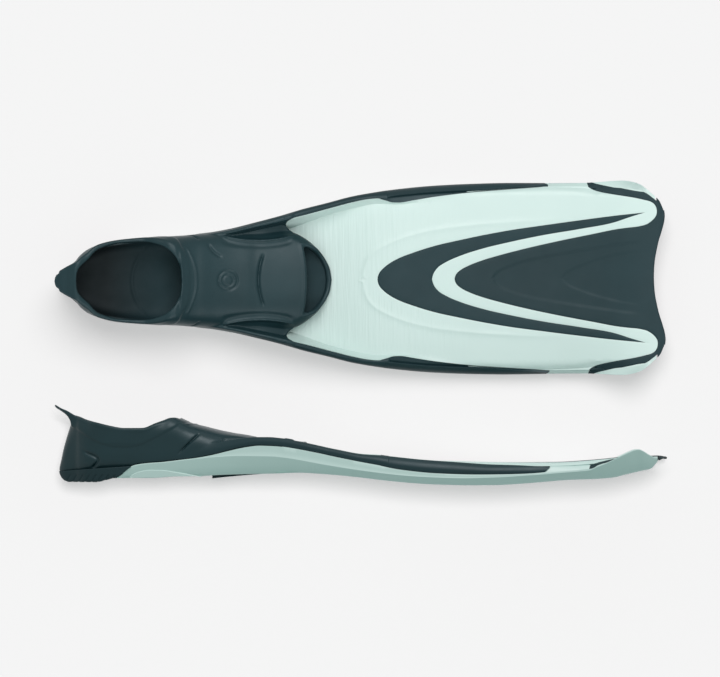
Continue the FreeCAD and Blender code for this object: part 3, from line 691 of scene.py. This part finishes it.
def to_mesh(name, d, axes, step):
    """Mesh of the zero surface; d covers y >= 0 and is mirrored."""
    full = np.concatenate([d[:, :0:-1], d], axis=1)
    grid = openvdb.FloatGrid(background=3.0 * step)
    grid.copyFromArray(np.ascontiguousarray(np.clip(full, -3 * step, 3 * step), np.float32), tolerance=0.0)
    v, tris, quads = grid.convertToPolygons(0.0, 0.0)
    v = v * step + np.array([axes[0][0], -(d.shape[1] - 1) * step, axes[2][0]])
    faces = [tuple(f[::-1]) for part in (quads, tris) for f in np.asarray(part).tolist()]
    me = bpy.data.meshes.new(name)
    me.from_pydata((v * MM).tolist(), [], faces)
    return me


def axis_points(a, b):
    """Grid of points over two axes, and its shape."""
    ga, gb = np.meshgrid(a, b, indexing="ij")
    return np.stack([ga.ravel(), gb.ravel()], 1).astype(float), ga.shape


def plan_distance(axes, line, closed):
    """Plan distance from a line, negative inside the closed outline."""
    p, shape = axis_points(axes[0], axes[1])
    d = distance_to(line, p)
    return f32(np.where(inside(closed, p), -d, d)).reshape(shape)[:, :, None]


def side_distance(axes, points):
    """Distance from a line drawn on the side of the fin."""
    p, shape = axis_points(axes[0], axes[2])
    return f32(distance_to(resample(points, 2.0), p)).reshape(shape)[:, None, :]


# ------------------------------------------------------------------ foot pocket
COLLAR_END, COLLAR_BOW = 147.0, 0.0085
WALL = 3.7                                  # wall of the shoe
SOFT = 0.8                                  # rounding where two forms meet
UPPER = 40                                  # what lies higher is the upper skin
HEEL_END, TRAY_END, SHOE_END = 78, 242, 290  # ends of the seams on the tread, the tray and the plate
CUP_WALL, CUP_BACK, CUP_FLOOR = 4.2, 9.2, 9.0  # the tread's hollow, in which the shoe sits


def shoe_body(X, Y, Z, step):
    """The shoe's rounded outside, without its opening and its toe wall."""
    half = table_x(SHOE_HALF, X)
    lifted = table_x(SHOE_TOP, X) + table_x(LIFT, X)
    mid, rise = (lifted + 2) / 2, (lifted - 2) / 2
    n = np.where(Z > mid, table_x(ROUND, X), np.float32(2.7))
    F = ((np.abs(Y) / half) ** n + (np.abs(Z - mid) / rise) ** n) ** (1 / n)
    g = np.gradient(F, step)
    return np.maximum((F - 1) / np.sqrt(g[0] ** 2 + g[1] ** 2 + g[2] ** 2 + 1e-6), 3.2 - X)


def toe_wall(axes, lead, outline):
    """Distance from a wall round the toes, negative on the foot's side."""
    line = np.concatenate([lead, resample(outline, 2.0)])
    back = [[outline[-1][0], -5], [-50, -5], [-50, lead[0][1]]]
    return plan_distance(axes, line, np.concatenate([line, back]))


def carved(outer, axes, X, Y, Z):
    """The outside with its collar, folds, creases, beads and rings."""
    body = outer.copy()
    cuff = blend_max(table_x(CUFF, X) - Z, X - (COLLAR_END - COLLAR_BOW * Y ** 2), 5.0)
    body -= 0.9 * smooth32(1.2, -1.2, cuff)
    body -= 0.8 * bell(X - COLLAR_END + COLLAR_BOW * Y ** 2, 0.9) * smooth32(36, 31, Y) * (Z > UPPER)
    side = smooth32(22, 30, Y + 0 * X)
    body += 2.8 * bell(side_distance(axes, FOLD), 0.8) * side * smooth32(27.5, 37, Z) * smooth32(53, 48, Z)
    body += 2.1 * bell(side_distance(axes, MARK), 1.5) * smooth32(4, 8, Y) * smooth32(26, 34, X)
    bow = X - 211.6 - 0.0072 * Y ** 2
    body += 2.2 * bell(bow, 1.25) * smooth32(29, 22, Y) * smooth32(34, 38, Z)
    run = smooth32(170, 180, X) * smooth32(250, 242, X) * smooth32(30, 34, Z)
    across = Y - table_x(BEAD, X)
    body -= 2.6 * bell(across, np.where(across > 0, 0.8, 1.9)) * run
    body += 0.9 * bell(across + 6.5, 2.6) * run
    disc = np.sqrt((X - 179.5) ** 2 + Y ** 2)
    body += (1.1 * bell(disc - 10.0, 0.9) + 0.9 * bell(disc - 5.6, 0.9)) * (Z > UPPER)
    return body


def ankle_opening(axes, X, Z):
    """What the ankle opening takes away, and the shaft straight down through it."""
    line = resample(OPENING, 2.0)
    opened = plan_distance(axes, line, np.concatenate([line, [[131.6, -5], [21.5, -5]]]))
    through = np.maximum(opened, 26.0 - Z)
    rim = table_x(SHOE_TOP, X) + 30.0 * smooth32(129, 135, X) - Z
    return blend_min(f32(rim), through, 2.5), through


def ankle_lip(shell, gone, shoe, X, Z):
    """Adds the rolled lip of the ankle opening."""
    lip = np.sqrt((gone - 2.1) ** 2 + (shoe + 1.2 + 0.9 * smooth32(110, 124, X)) ** 2) - 2.6
    lip = np.where((X > 15) & (X < 138) & (Z > UPPER), lip, NOT_HERE)
    return blend_min(shell, f32(lip), SOFT)


def toe_opening(shell, outer, arc, X, Y, Z):
    """Toe opening: roof edge behind, low ring in front, one rolled rim and a skirt down to the plate."""
    edge_x = 262.2 - 3.4 * (np.minimum(Y, 40) / 33.5) ** 2
    ring_z = 23.6 + 15.5 * (np.minimum(Y, 42) / 36.0) ** 2.6
    front = blend_max(edge_x - X, (ring_z - Z) * 0.85, 3.0)
    shell = blend_max(shell, -front, SOFT)
    rim = np.sqrt((front - 1.7) ** 2 + (outer + 1.8) ** 2) - 2.25
    shell = blend_min(shell, f32(np.where(X > 250, rim, NOT_HERE)), 0.9)
    skirt = np.maximum(np.abs(arc + 2.3) - 2.6, Z - table_x(PLATE, X) - 1.5)
    return blend_min(shell, np.where(X > 244, skirt, NOT_HERE).astype(np.float32), 0.9)


def rail_form(away, X, Y, Z):
    """Rail over the blade's edge, from beside the shoe to the rail cap."""
    rail_in, rail_top = table_x(RAIL_IN, X), table_x(RAIL_TOP, X)
    crest, edge_y = table_x(CREST, X), table_x(HALF, X)
    widest = crest + 0.34 * (rail_top - crest)
    round_off = np.where(Z > widest, 0.7 + 0.35 * smooth32(292, 344, X), 0.6)
    bulge = Y - (edge_y + 0.3)
    bulge = bulge + round_off * (np.maximum(Z, crest) - widest) ** 2 / np.maximum(rail_top - crest, 4)
    rail = blend_max(blend_max(f32(bulge), rail_in - Y, 1.6), Z - rail_top, 3.0)
    rail = rail + 0.7 * bell(Y - rail_in - 3.4, 1.1) * smooth32(236, 228, X)
    fall = (Y - rail_in) * (rail_top - RAIL_SKIN - crest) / np.maximum(edge_y - rail_in - 3.0, 1)
    under = np.where(X > 243, rail_top - RAIL_SKIN - 1.0 - fall, crest - 3.0)
    rail = np.maximum(rail, f32(under) - Z)
    rail = np.maximum(rail, crest - 0.1 - Z - 4.0 * f32(X < 243) * f32(Y < edge_y - 3.4))
    return np.maximum(rail + away, X - (STRIP_END + 0.5))


def web_form(away, shoe, X, Y, Z):
    """Web that joins the shoe to the rail, and lies on the slope of the plate further on."""
    plate, rail_in, rail_top = table_x(PLATE, X), table_x(RAIL_IN, X), table_x(RAIL_TOP, X)
    web_z = table_x(WEB, X)
    web_z = web_z + (rail_top - 1.0 - web_z) * smooth32(0, 3.6, Y - rail_in + 3.6)
    foot = np.minimum(table_x(SLOPE_IN, X), rail_in - 1.0)
    cover = plate + (rail_top - 0.3 - plate) * np.clip((Y - foot) / (rail_in - foot), 0, 1) + 0.7
    web_z = np.maximum(web_z, cover - 30.0 * smooth32(240, 230, X))
    outside = Y - table_x(HALF, X) + 2.5 + 6.0 * smooth32(3.0, 8.0, table_x(CREST, X) - Z)
    web = np.maximum(np.maximum((Z - web_z) * 0.8, web_z - 5.5 - Z), np.maximum(outside, -(shoe + 3.2)))
    return np.maximum(web + away, X - (241.2 + 0.13 * np.clip(Y - 57.8, -7, 7) ** 2))


def tab_form(through, X, Y, Z):
    """Heel tab, open where the ankle opening goes down."""
    back = np.sqrt((X - 2.6) ** 2 + (Y * 0.62) ** 2) * f32(X < 2.6) - 5.0
    height = blend_max(Z - table_x(TAB_TOP, X), table_x(TAB_LOW, X) - Z, 0.8)
    tab = blend_max(np.maximum(Y - table_x(TAB_HALF, X), back), height, 1.2)
    return f32(np.maximum(blend_max(tab, f32(X - 22.0), 5.0), -through))


def cut_seams(d, X, Y, Z):
    """Ends the rubber on the outsole, on the tray's side and on the plate."""
    crest = table_x(CREST, X)
    skin = (Y > table_x(SHOE_HALF, X) - CUP_WALL) | (X < CUP_BACK)
    heel = np.where(skin, HEEL_SEAM + HEEL_RISE * X - Z, CUP_FLOOR + 0.2 - Z)
    seam = np.where(X < HEEL_END, heel, np.where(X < TRAY_END, crest - Z, ALWAYS))
    within = table_x(HALF, X) - 3.0 - 0.35 * np.clip(crest - 4.0 - Z, 0, 12)
    d = np.maximum(d, f32(np.where((X < HEEL_END) | (Y > within), seam, ALWAYS)))
    return np.maximum(d, np.where(X < SHOE_END, table_x(PLATE, X) - 0.4 - Z, ALWAYS))


def pocket_field(step):
    """Distance field of the foot pocket, and of the room for the foot inside it."""
    axes, (X, Y, Z) = field((-6.5, 0.0, 3.4), (352.0, 98.0, 86.0), step)
    shoe = shoe_body(X, Y, Z, step)
    arc = toe_wall(axes, [[200, 62.0], [236, 57.0]], TOE_ARC)
    outer = blend_max(shoe, arc, 1.5 + 6.5 * smooth32(26.0, 37.0, Z))
    well = toe_wall(axes, [[200, 56.0], [230, 50.5]], TOE_HOLE)
    floor = table_x(FOOT_FLOOR, X) + 1.0 * bell(X - 78.4 - 0.011 * Y ** 2, 1.8)
    room = np.maximum(blend_max(shoe + WALL, floor - Z, 9.0), well)
    gone, through = ankle_opening(axes, X, Z)
    shell = blend_max(carved(outer, axes, X, Y, Z), -room, SOFT)
    shell = blend_max(shell, -gone, SOFT)
    shell = ankle_lip(shell, gone, shoe, X, Z)
    shell = toe_opening(shell, outer, arc, X, Y, Z)
    away = 6.0 * smooth32(150, 128, X)
    d = blend_min(shell, f32(web_form(away, shoe, X, Y, Z)), 1.8)
    d = blend_min(d, f32(rail_form(away, X, Y, Z)), 2.0)
    d = blend_min(d, tab_form(through, X, Y, Z), 2.2)
    d = np.maximum(d, -np.maximum(room, CUP_FLOOR - Z))
    return axes, polish(f32(cut_seams(d, X, Y, Z))), room


def places(me):
    """Places of a mesh's vertices, in millimetres."""
    co = np.empty(len(me.vertices) * 3)
    me.vertices.foreach_get("co", co)
    return co.reshape(-1, 3) / MM


def mark_painted_shade(me, room, axes, step):
    """Marks the inside of the shoe, where its colour is painted dark as shade."""
    at = np.abs(places(me) - [axes[0][0], 0, axes[2][0]]) / step
    cell = tuple(np.minimum(np.round(at[:, k]).astype(int), room.shape[k] - 1) for k in range(3))
    # painted shade: this mask darkens the colour of the shoe's inside in its rubber material
    painted_shade_mask = me.attributes.new("painted_shade_mask", "FLOAT", "POINT")
    painted_shade_mask.data.foreach_set("value", smooth(1.8, 0.5, np.abs(room[cell])))


def crease(me, points, depth, width, lowest):
    """Presses a short groove with tapered ends in the upper skin, on one side only."""
    co = places(me)
    line = resample(points, 1.0)
    near = (co[:, 2] > lowest) & (np.abs(co[:, :2] - np.mean(points, 0)).max(1) < 30)
    p = co[near, :2]
    ends = np.minimum(np.hypot(*(p - line[0]).T), np.hypot(*(p - line[-1]).T))
    co[near, 2] -= depth * bell(distance_to(line, p), width) * smooth(0, 7, ends)
    me.vertices.foreach_set("co", (co * MM).ravel())


def build_pocket():
    step = 0.85
    axes, d, room = pocket_field(step)
    me = to_mesh("foot_pocket", d, axes, step)
    # marks where the painted shade goes inside the shoe
    mark_painted_shade(me, room, axes, step)
    crease(me, INSTEP_CREASE, 1.5, 1.4, 46.0)
    return me


# ------------------------------------------------------------------ tread and grip pad
def build_outsole():
    """Tread under and behind the heel, with slanting grooves."""
    step = 0.6
    first, pitch, slant = 10.5, 6.6, 0.64
    axes, (X, Y, Z) = field((0.0, 0.0, -2.0), (86.0, 49.0, 19.0), step)
    low = table_x(OUTSOLE_LOW, X)
    side = Y - (table_x(SHOE_HALF, X) + 0.6)
    d = blend_max(np.maximum(side, 2.8 - X), low - Z, 3.0)
    d = np.maximum(d, Z - (HEEL_SEAM + 0.2 + HEEL_RISE * X))
    d = np.maximum(d, (X - 57.9 - 1.25 * Z) * 0.62)
    d = np.maximum(d, -np.maximum(np.maximum(side + CUP_WALL, CUP_BACK - X), CUP_FLOOR - Z))
    for k in range(8):
        at = first + pitch * k
        groove = 1.3 * bell(X - at - slant * Z, 0.8) * (0.25 + 0.75 * smooth32(0.3, 2.6, Z - low))
        outside = smooth32(-4.5, -1.0, d) * f32(np.maximum(side, -0.5) > -2.5)
        d = d + groove * smooth32(8.6, 6.8, Z) * outside * 0.9
        d = d + 0.2 * bell(X - at, 0.9) * smooth32(2.2, 0.6, Z - low)
    return to_mesh("heel_outsole", polish(f32(d)), axes, step)


def build_pad():
    """Grip pad under the ball of the foot: deepest at its back, with bevelled sides."""
    start, end, bevel = 163.5, 216.0, 0.8
    rows = []
    for x in np.linspace(start, end, 24):
        low = along(BOTTOM, x)
        drop = 3.3 * (216.5 - x) / 53.0
        w = 28.0 + 5.0 * (x - 163) / 52.0
        foot = low - drop
        rows.append([(x, -w, low + 1.0), (x, -w, foot + 0.7), (x, -w + bevel, foot), (x, w - bevel, foot),
                     (x, w, foot + 0.7), (x, w, low + 1.0)])
    pad = Shape()
    pad.grid(np.array(rows), closed=True, caps=True)
    return pad.mesh("sole_grip_pad")


# ------------------------------------------------------------------ materials
class Socket:
    """A shader value with arithmetic."""

    def __init__(self, tree, out):
        self.tree, self.out = tree, out

    def maths(self, kind, *values):
        return self.tree.node("Math", dict(enumerate(values)), operation=kind)

    def __add__(self, v):
        return self.maths("ADD", self, v)

    def __sub__(self, v):
        return self.maths("SUBTRACT", self, v)

    def __rsub__(self, v):
        return self.maths("SUBTRACT", v, self)

    def __mul__(self, v):
        return self.maths("MULTIPLY", self, v)

    __radd__, __rmul__ = __add__, __mul__

    def least(self, v):
        return self.maths("MAXIMUM", self, v)

    def clamp(self, lo, hi):
        return self.maths("MINIMUM", self.least(lo), hi)


class Tree:
    """A node tree; one method makes all its nodes."""

    def __init__(self, tree):
        self.tree = tree

    def node(self, kind, values=(), out=0, stops=(), **settings):
        """Adds a node with its settings and its sockets' values or links, and gives one output."""
        n = self.tree.nodes.new("ShaderNode" + kind)
        for key, value in settings.items():
            setattr(n, key, value)
        for i, (position, colour) in enumerate(stops):
            n.color_ramp.elements[i].position = position
            n.color_ramp.elements[i].color = (*colour, 1)
        for key, value in dict(values).items():
            self.feed(n.inputs[key], value)
        return Socket(self, n.outputs[out]) if len(n.outputs) else None

    def feed(self, slot, value):
        if isinstance(value, Socket):
            self.tree.links.new(value.out, slot)
        else:
            slot.default_value = value


class Material(Tree):
    def __init__(self, name, rough, spec=0.5, tint=(1, 1, 1)):
        self.made = bpy.data.materials.new(name)
        self.made.use_nodes = True
        super().__init__(self.made.node_tree)
        self.skin = self.tree.nodes["Principled BSDF"].inputs
        self.skin["Roughness"].default_value = rough
        self.skin["Specular IOR Level"].default_value = spec
        self.skin["Specular Tint"].default_value = (*tint, 1)

    def noise(self, scale, detail=3.0, stretch=(1, 1, 1)):
        co = self.node("TexCoord", out="Object")
        co = self.node("Mapping", {"Vector": co, "Scale": stretch})
        return self.node("TexNoise", {"Vector": co, "Scale": scale, "Detail": detail, "Roughness": 0.55})

    def coordinate(self, axis):
        return self.node("SeparateXYZ", {"Vector": self.node("TexCoord", out="Object")}, out=axis)

    def finish(self, colour, rough, grain, strength, depth):
        """Feeds the colour, the roughness and the height of the grain."""
        bump = self.node("Bump", {"Height": grain, "Strength": strength, "Distance": depth})
        for key, value in (("Base Color", colour), ("Roughness", rough), ("Normal", bump)):
            self.feed(self.skin[key], value)
        return self.made


MINT = (0.665, 0.812, 0.778)
RUBBER = (0.011, 0.031, 0.037)
# colour of the painted shade inside the shoe, strongest at the heel
PAINTED_SHADE = (0.002, 0.004, 0.005, 1)


def shade(colour, share):
    return tuple(c * share for c in colour)


def mint():
    """Pale plastic, cloudy, with fine ripples along the middle of the plate."""
    m = Material("mint_plastic", 0.34, 0.45)
    colour = m.node("ValToRGB", {"Fac": m.noise(9.0, 2.0)}, stops=[(0.3, shade(MINT, 0.975)), (0.7, MINT)])
    rough = m.noise(60.0, 3.0) * 0.16 + 0.28
    x, y = m.coordinate(0), m.coordinate(1)
    fine = m.noise(420.0, 2.0)
    wave = m.noise(380.0, 1.0, (1.0, 0.06, 0.06))
    zone = ((x - 0.235) * 40.0).clamp(0, 1) * ((0.44 - x) * 16.0).clamp(0, 1)
    zone = zone * ((0.0064 - y * y) * 600.0).clamp(0, 1)
    return m.finish(colour, rough, wave * zone * 0.9 + fine * 0.04, 0.7, 0.0008)


def rubber(name, tone, rough, grain, painted_inside=False):
    """Dark rubber, cloudy and grained. Inside the shoe its colour is painted dark as shade, darkest at the
    heel and fading towards the toes, and that inside is also rougher.
    """
    m = Material(name, rough, 0.28, (0.80, 0.97, 1.0))
    base = shade(RUBBER, tone)
    cloud = [(0.3, shade(base, 0.86)), (0.72, shade(base, 1.1))]
    colour = m.node("ValToRGB", {"Fac": m.noise(14.0, 4.0)}, stops=cloud)
    polish = m.noise(70.0, 4.0) * 0.18 + (rough - 0.09)
    # painted shade: the inside of the shoe is darkened in its colour, most at the heel, less towards the
    # toes
    if painted_inside:
        skin = m.node("Attribute", out=2, attribute_name="painted_shade_mask")
        toes = ((m.coordinate(0) - 0.052) * 18.0).clamp(0, 1)
        share = skin * (toes * -0.88 + 0.94)
        colour = m.node("Mix", {0: share, 6: colour, 7: PAINTED_SHADE}, out=2, data_type="RGBA")
        polish = polish + skin * 0.3
    return m.finish(colour, polish, m.noise(900.0, 2.0), grain, 0.0002)


# ------------------------------------------------------------------ the two fins in the row
# each piece: its mesh, its material, and the angle from which an edge stays crisp
rail_rubber = rubber("rail_rubber", 1.0, 0.38, 0.3)
PIECES = {
    "blade": (build_blade(), mint(), 32),
    "chevron_insert": (build_chevron(), rubber("chevron_rubber", 1.0, 0.5, 0.3), 40),
    "tip_panel": (build_tip(), rubber("tip_rubber", 0.9, 0.5, 0.3), 40),
    "rail_cap_left_edge": (build_rail_cap("rail_cap_left_edge", 1), rail_rubber, 40),
    "rail_cap_right_edge": (build_rail_cap("rail_cap_right_edge", -1), rail_rubber, 40),
    # the pocket's rubber has painted shade in the colour of its inside
    "foot_pocket": (build_pocket(), rubber("pocket_rubber", 1.0, 0.36, 0.35, True), 80),
    "heel_outsole": (build_outsole(), rubber("tread_rubber", 0.7, 0.62, 0.5), 60),
    "sole_grip_pad": (build_pad(), rubber("pad_rubber", 0.5, 0.7, 0.5), 40)}
ENTRY_X, ENTRY_Z = 77.0, 60.0  # middle of the foot entry, in the fin's own frame


def fin_place(side):
    """Where a fin stands, from its mounts in the record."""
    mounts = {m["name"]: m for m in frame["record"]["mounts"]}
    entry, toe = mounts[side + "_foot_entry"], mounts[side + "_toe_opening"]
    up, ahead = Vector(entry["axis"]).normalized(), Vector(toe["axis"]).normalized()
    place = Matrix((ahead, up.cross(ahead).normalized(), up)).transposed().to_4x4()
    place.translation = Vector(entry["pos_m"]) - ahead * ENTRY_X * MM - up * ENTRY_Z * MM
    return place


for me, material, angle in PIECES.values():
    set_smooth(me, angle)
    me.materials.append(material)
for side in ("left", "right"):
    place = fin_place(side)
    for key, (me, _, _) in PIECES.items():
        o = bpy.data.objects.new("%s_%s" % (side, key), me)
        bpy.context.scene.collection.objects.link(o)
        o.matrix_world = place
        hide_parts("%s_fin_%s" % (side, key))
        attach(o, side + "_fin")

# ------------------------------------------------------------------ floor, light and camera
scene = bpy.context.scene
PAPER, GLOW, GLOW_SHARE, SKY = 0.9, 0.468, 0.35, 0.37
FLOOR_HALF, FLOOR_DROP = 6, 0.0006


def stage_object(name, data):
    o = bpy.data.objects.new(name, data)
    scene.collection.objects.link(o)
    return o


def two_looks(owner, end, felt, seen):
    """Ends a node tree: one look for the camera and reflections, and one for the light on the fins."""
    owner.use_nodes = True
    owner.node_tree.nodes.clear()
    tree = Tree(owner.node_tree)
    kinds = ("Is Camera Ray", "Is Glossy Ray", "Is Transmission Ray")
    rays = [tree.node("LightPath", out=kind) for kind in kinds]
    straight = rays[0].least(rays[1]).least(rays[2])
    tree.node(end, {0: tree.node("MixShader", {0: straight, 1: felt(tree), 2: seen(tree)})})


def grey(tree, red, green, blue):
    return tree.node("BsdfDiffuse", {"Color": (red, green, blue, 1)})


def bright_paper(tree):
    glow = tree.node("Emission", {"Strength": GLOW})
    return tree.node("MixShader", {0: GLOW_SHARE, 1: grey(tree, 0.40, 0.40, 0.40), 2: glow})


def sky(red, green, blue, strength):
    return lambda tree: tree.node("Background", {"Color": (red, green, blue, 1), "Strength": strength})


corners = [(x * FLOOR_HALF, y * FLOOR_HALF, 0) for x, y in ((-1, -1), (1, -1), (1, 1), (-1, 1))]
floor_mesh = bpy.data.meshes.new("floor")
floor_mesh.from_pydata(corners, [], [(0, 1, 2, 3)])
floor = stage_object("floor", floor_mesh)
floor.location = (0, 0, -FLOOR_DROP)
paper = bpy.data.materials.new("paper")
two_looks(paper, "OutputMaterial", lambda tree: grey(tree, 0.18, 0.20, 0.20), bright_paper)
floor_mesh.materials.append(paper)
scene.world = bpy.data.worlds.new("world")
two_looks(scene.world, "OutputWorld", sky(0.72, 1.0, 0.96, SKY), sky(1, 1, 1, PAPER))


def sun(name, energy, place, wide, tint):
    """A soft distant lamp that shines from its place towards the floor between the fins."""
    data = bpy.data.lights.new(name, "SUN")
    data.energy, data.angle, data.color = energy, math.radians(wide), tint
    o = stage_object(name, data)
    o.location = place
    o.rotation_euler = (LAMPS_AIM - Vector(place)).to_track_quat("-Z", "Y").to_euler()
    return o


def group(name, things):
    g = bpy.data.collections.new(name)
    for o in things:
        g.objects.link(o)
    return g


def fin(side):
    return [o for o in scene.objects if o.type == "MESH" and o.name.startswith(side + "_")]


# each fin has its own soft lamps, mostly from the upper side, and its own soft shadow on the floor
LAMPS_AIM = Vector((0, 0, 0))
WARM, PALE = (1.0, 0.91, 0.92), (1.0, 0.962, 0.968)
for name, energy, place, wide, lit, blocks in (
        ("flat_key", 1.16, (-0.10, 1.10, 1.70), 34, fin("left"), None),
        ("flat_top", 0.60, (0.15, 0.35, 1.90), 30, fin("left"), None),
        ("flat_fill", 1.30, (0.20, -1.50, 1.30), 50, fin("left"), None),
        ("side_key", 1.36, (0.20, 1.60, 1.05), 28, fin("right"), None),
        ("side_top", 0.40, (0.0, 1.20, 1.60), 24, fin("right"), None),
        ("flat_shadow", 4.60, (0.10, 1.00, 2.0), 42, [floor], fin("left")),
        ("side_shadow", 4.10, (0.02, 0.125, 2.0), 8, [floor], fin("right"))):
    light = sun(name, energy, place, wide, PALE if blocks else WARM)
    light.light_linking.receiver_collection = group(name + "_lights", lit)
    if blocks:
        light.light_linking.blocker_collection = group(name + "_blockers", blocks)

# a distant camera with a long lens, almost straight above and a little to the front
VIEW_WIDTH, CAMERA_Y = 756.0, -0.25
AIM = Vector((-0.0004, -0.0061, 0.05))
cam_data = bpy.data.cameras.new("camera")
cam_data.lens, cam_data.sensor_width, cam_data.sensor_fit = 1300, 36, "HORIZONTAL"
cam_data.clip_start, cam_data.clip_end = 1.0, 60.0
cam = bpy.data.objects.new("camera", cam_data)
scene.collection.objects.link(cam)
scene.camera = cam
cam.location = (AIM.x, CAMERA_Y, AIM.z + VIEW_WIDTH * MM * cam_data.lens / cam_data.sensor_width)
cam.rotation_euler = (AIM - cam.location).to_track_quat("-Z", "Y").to_euler()

scene.view_settings.view_transform = "Standard"
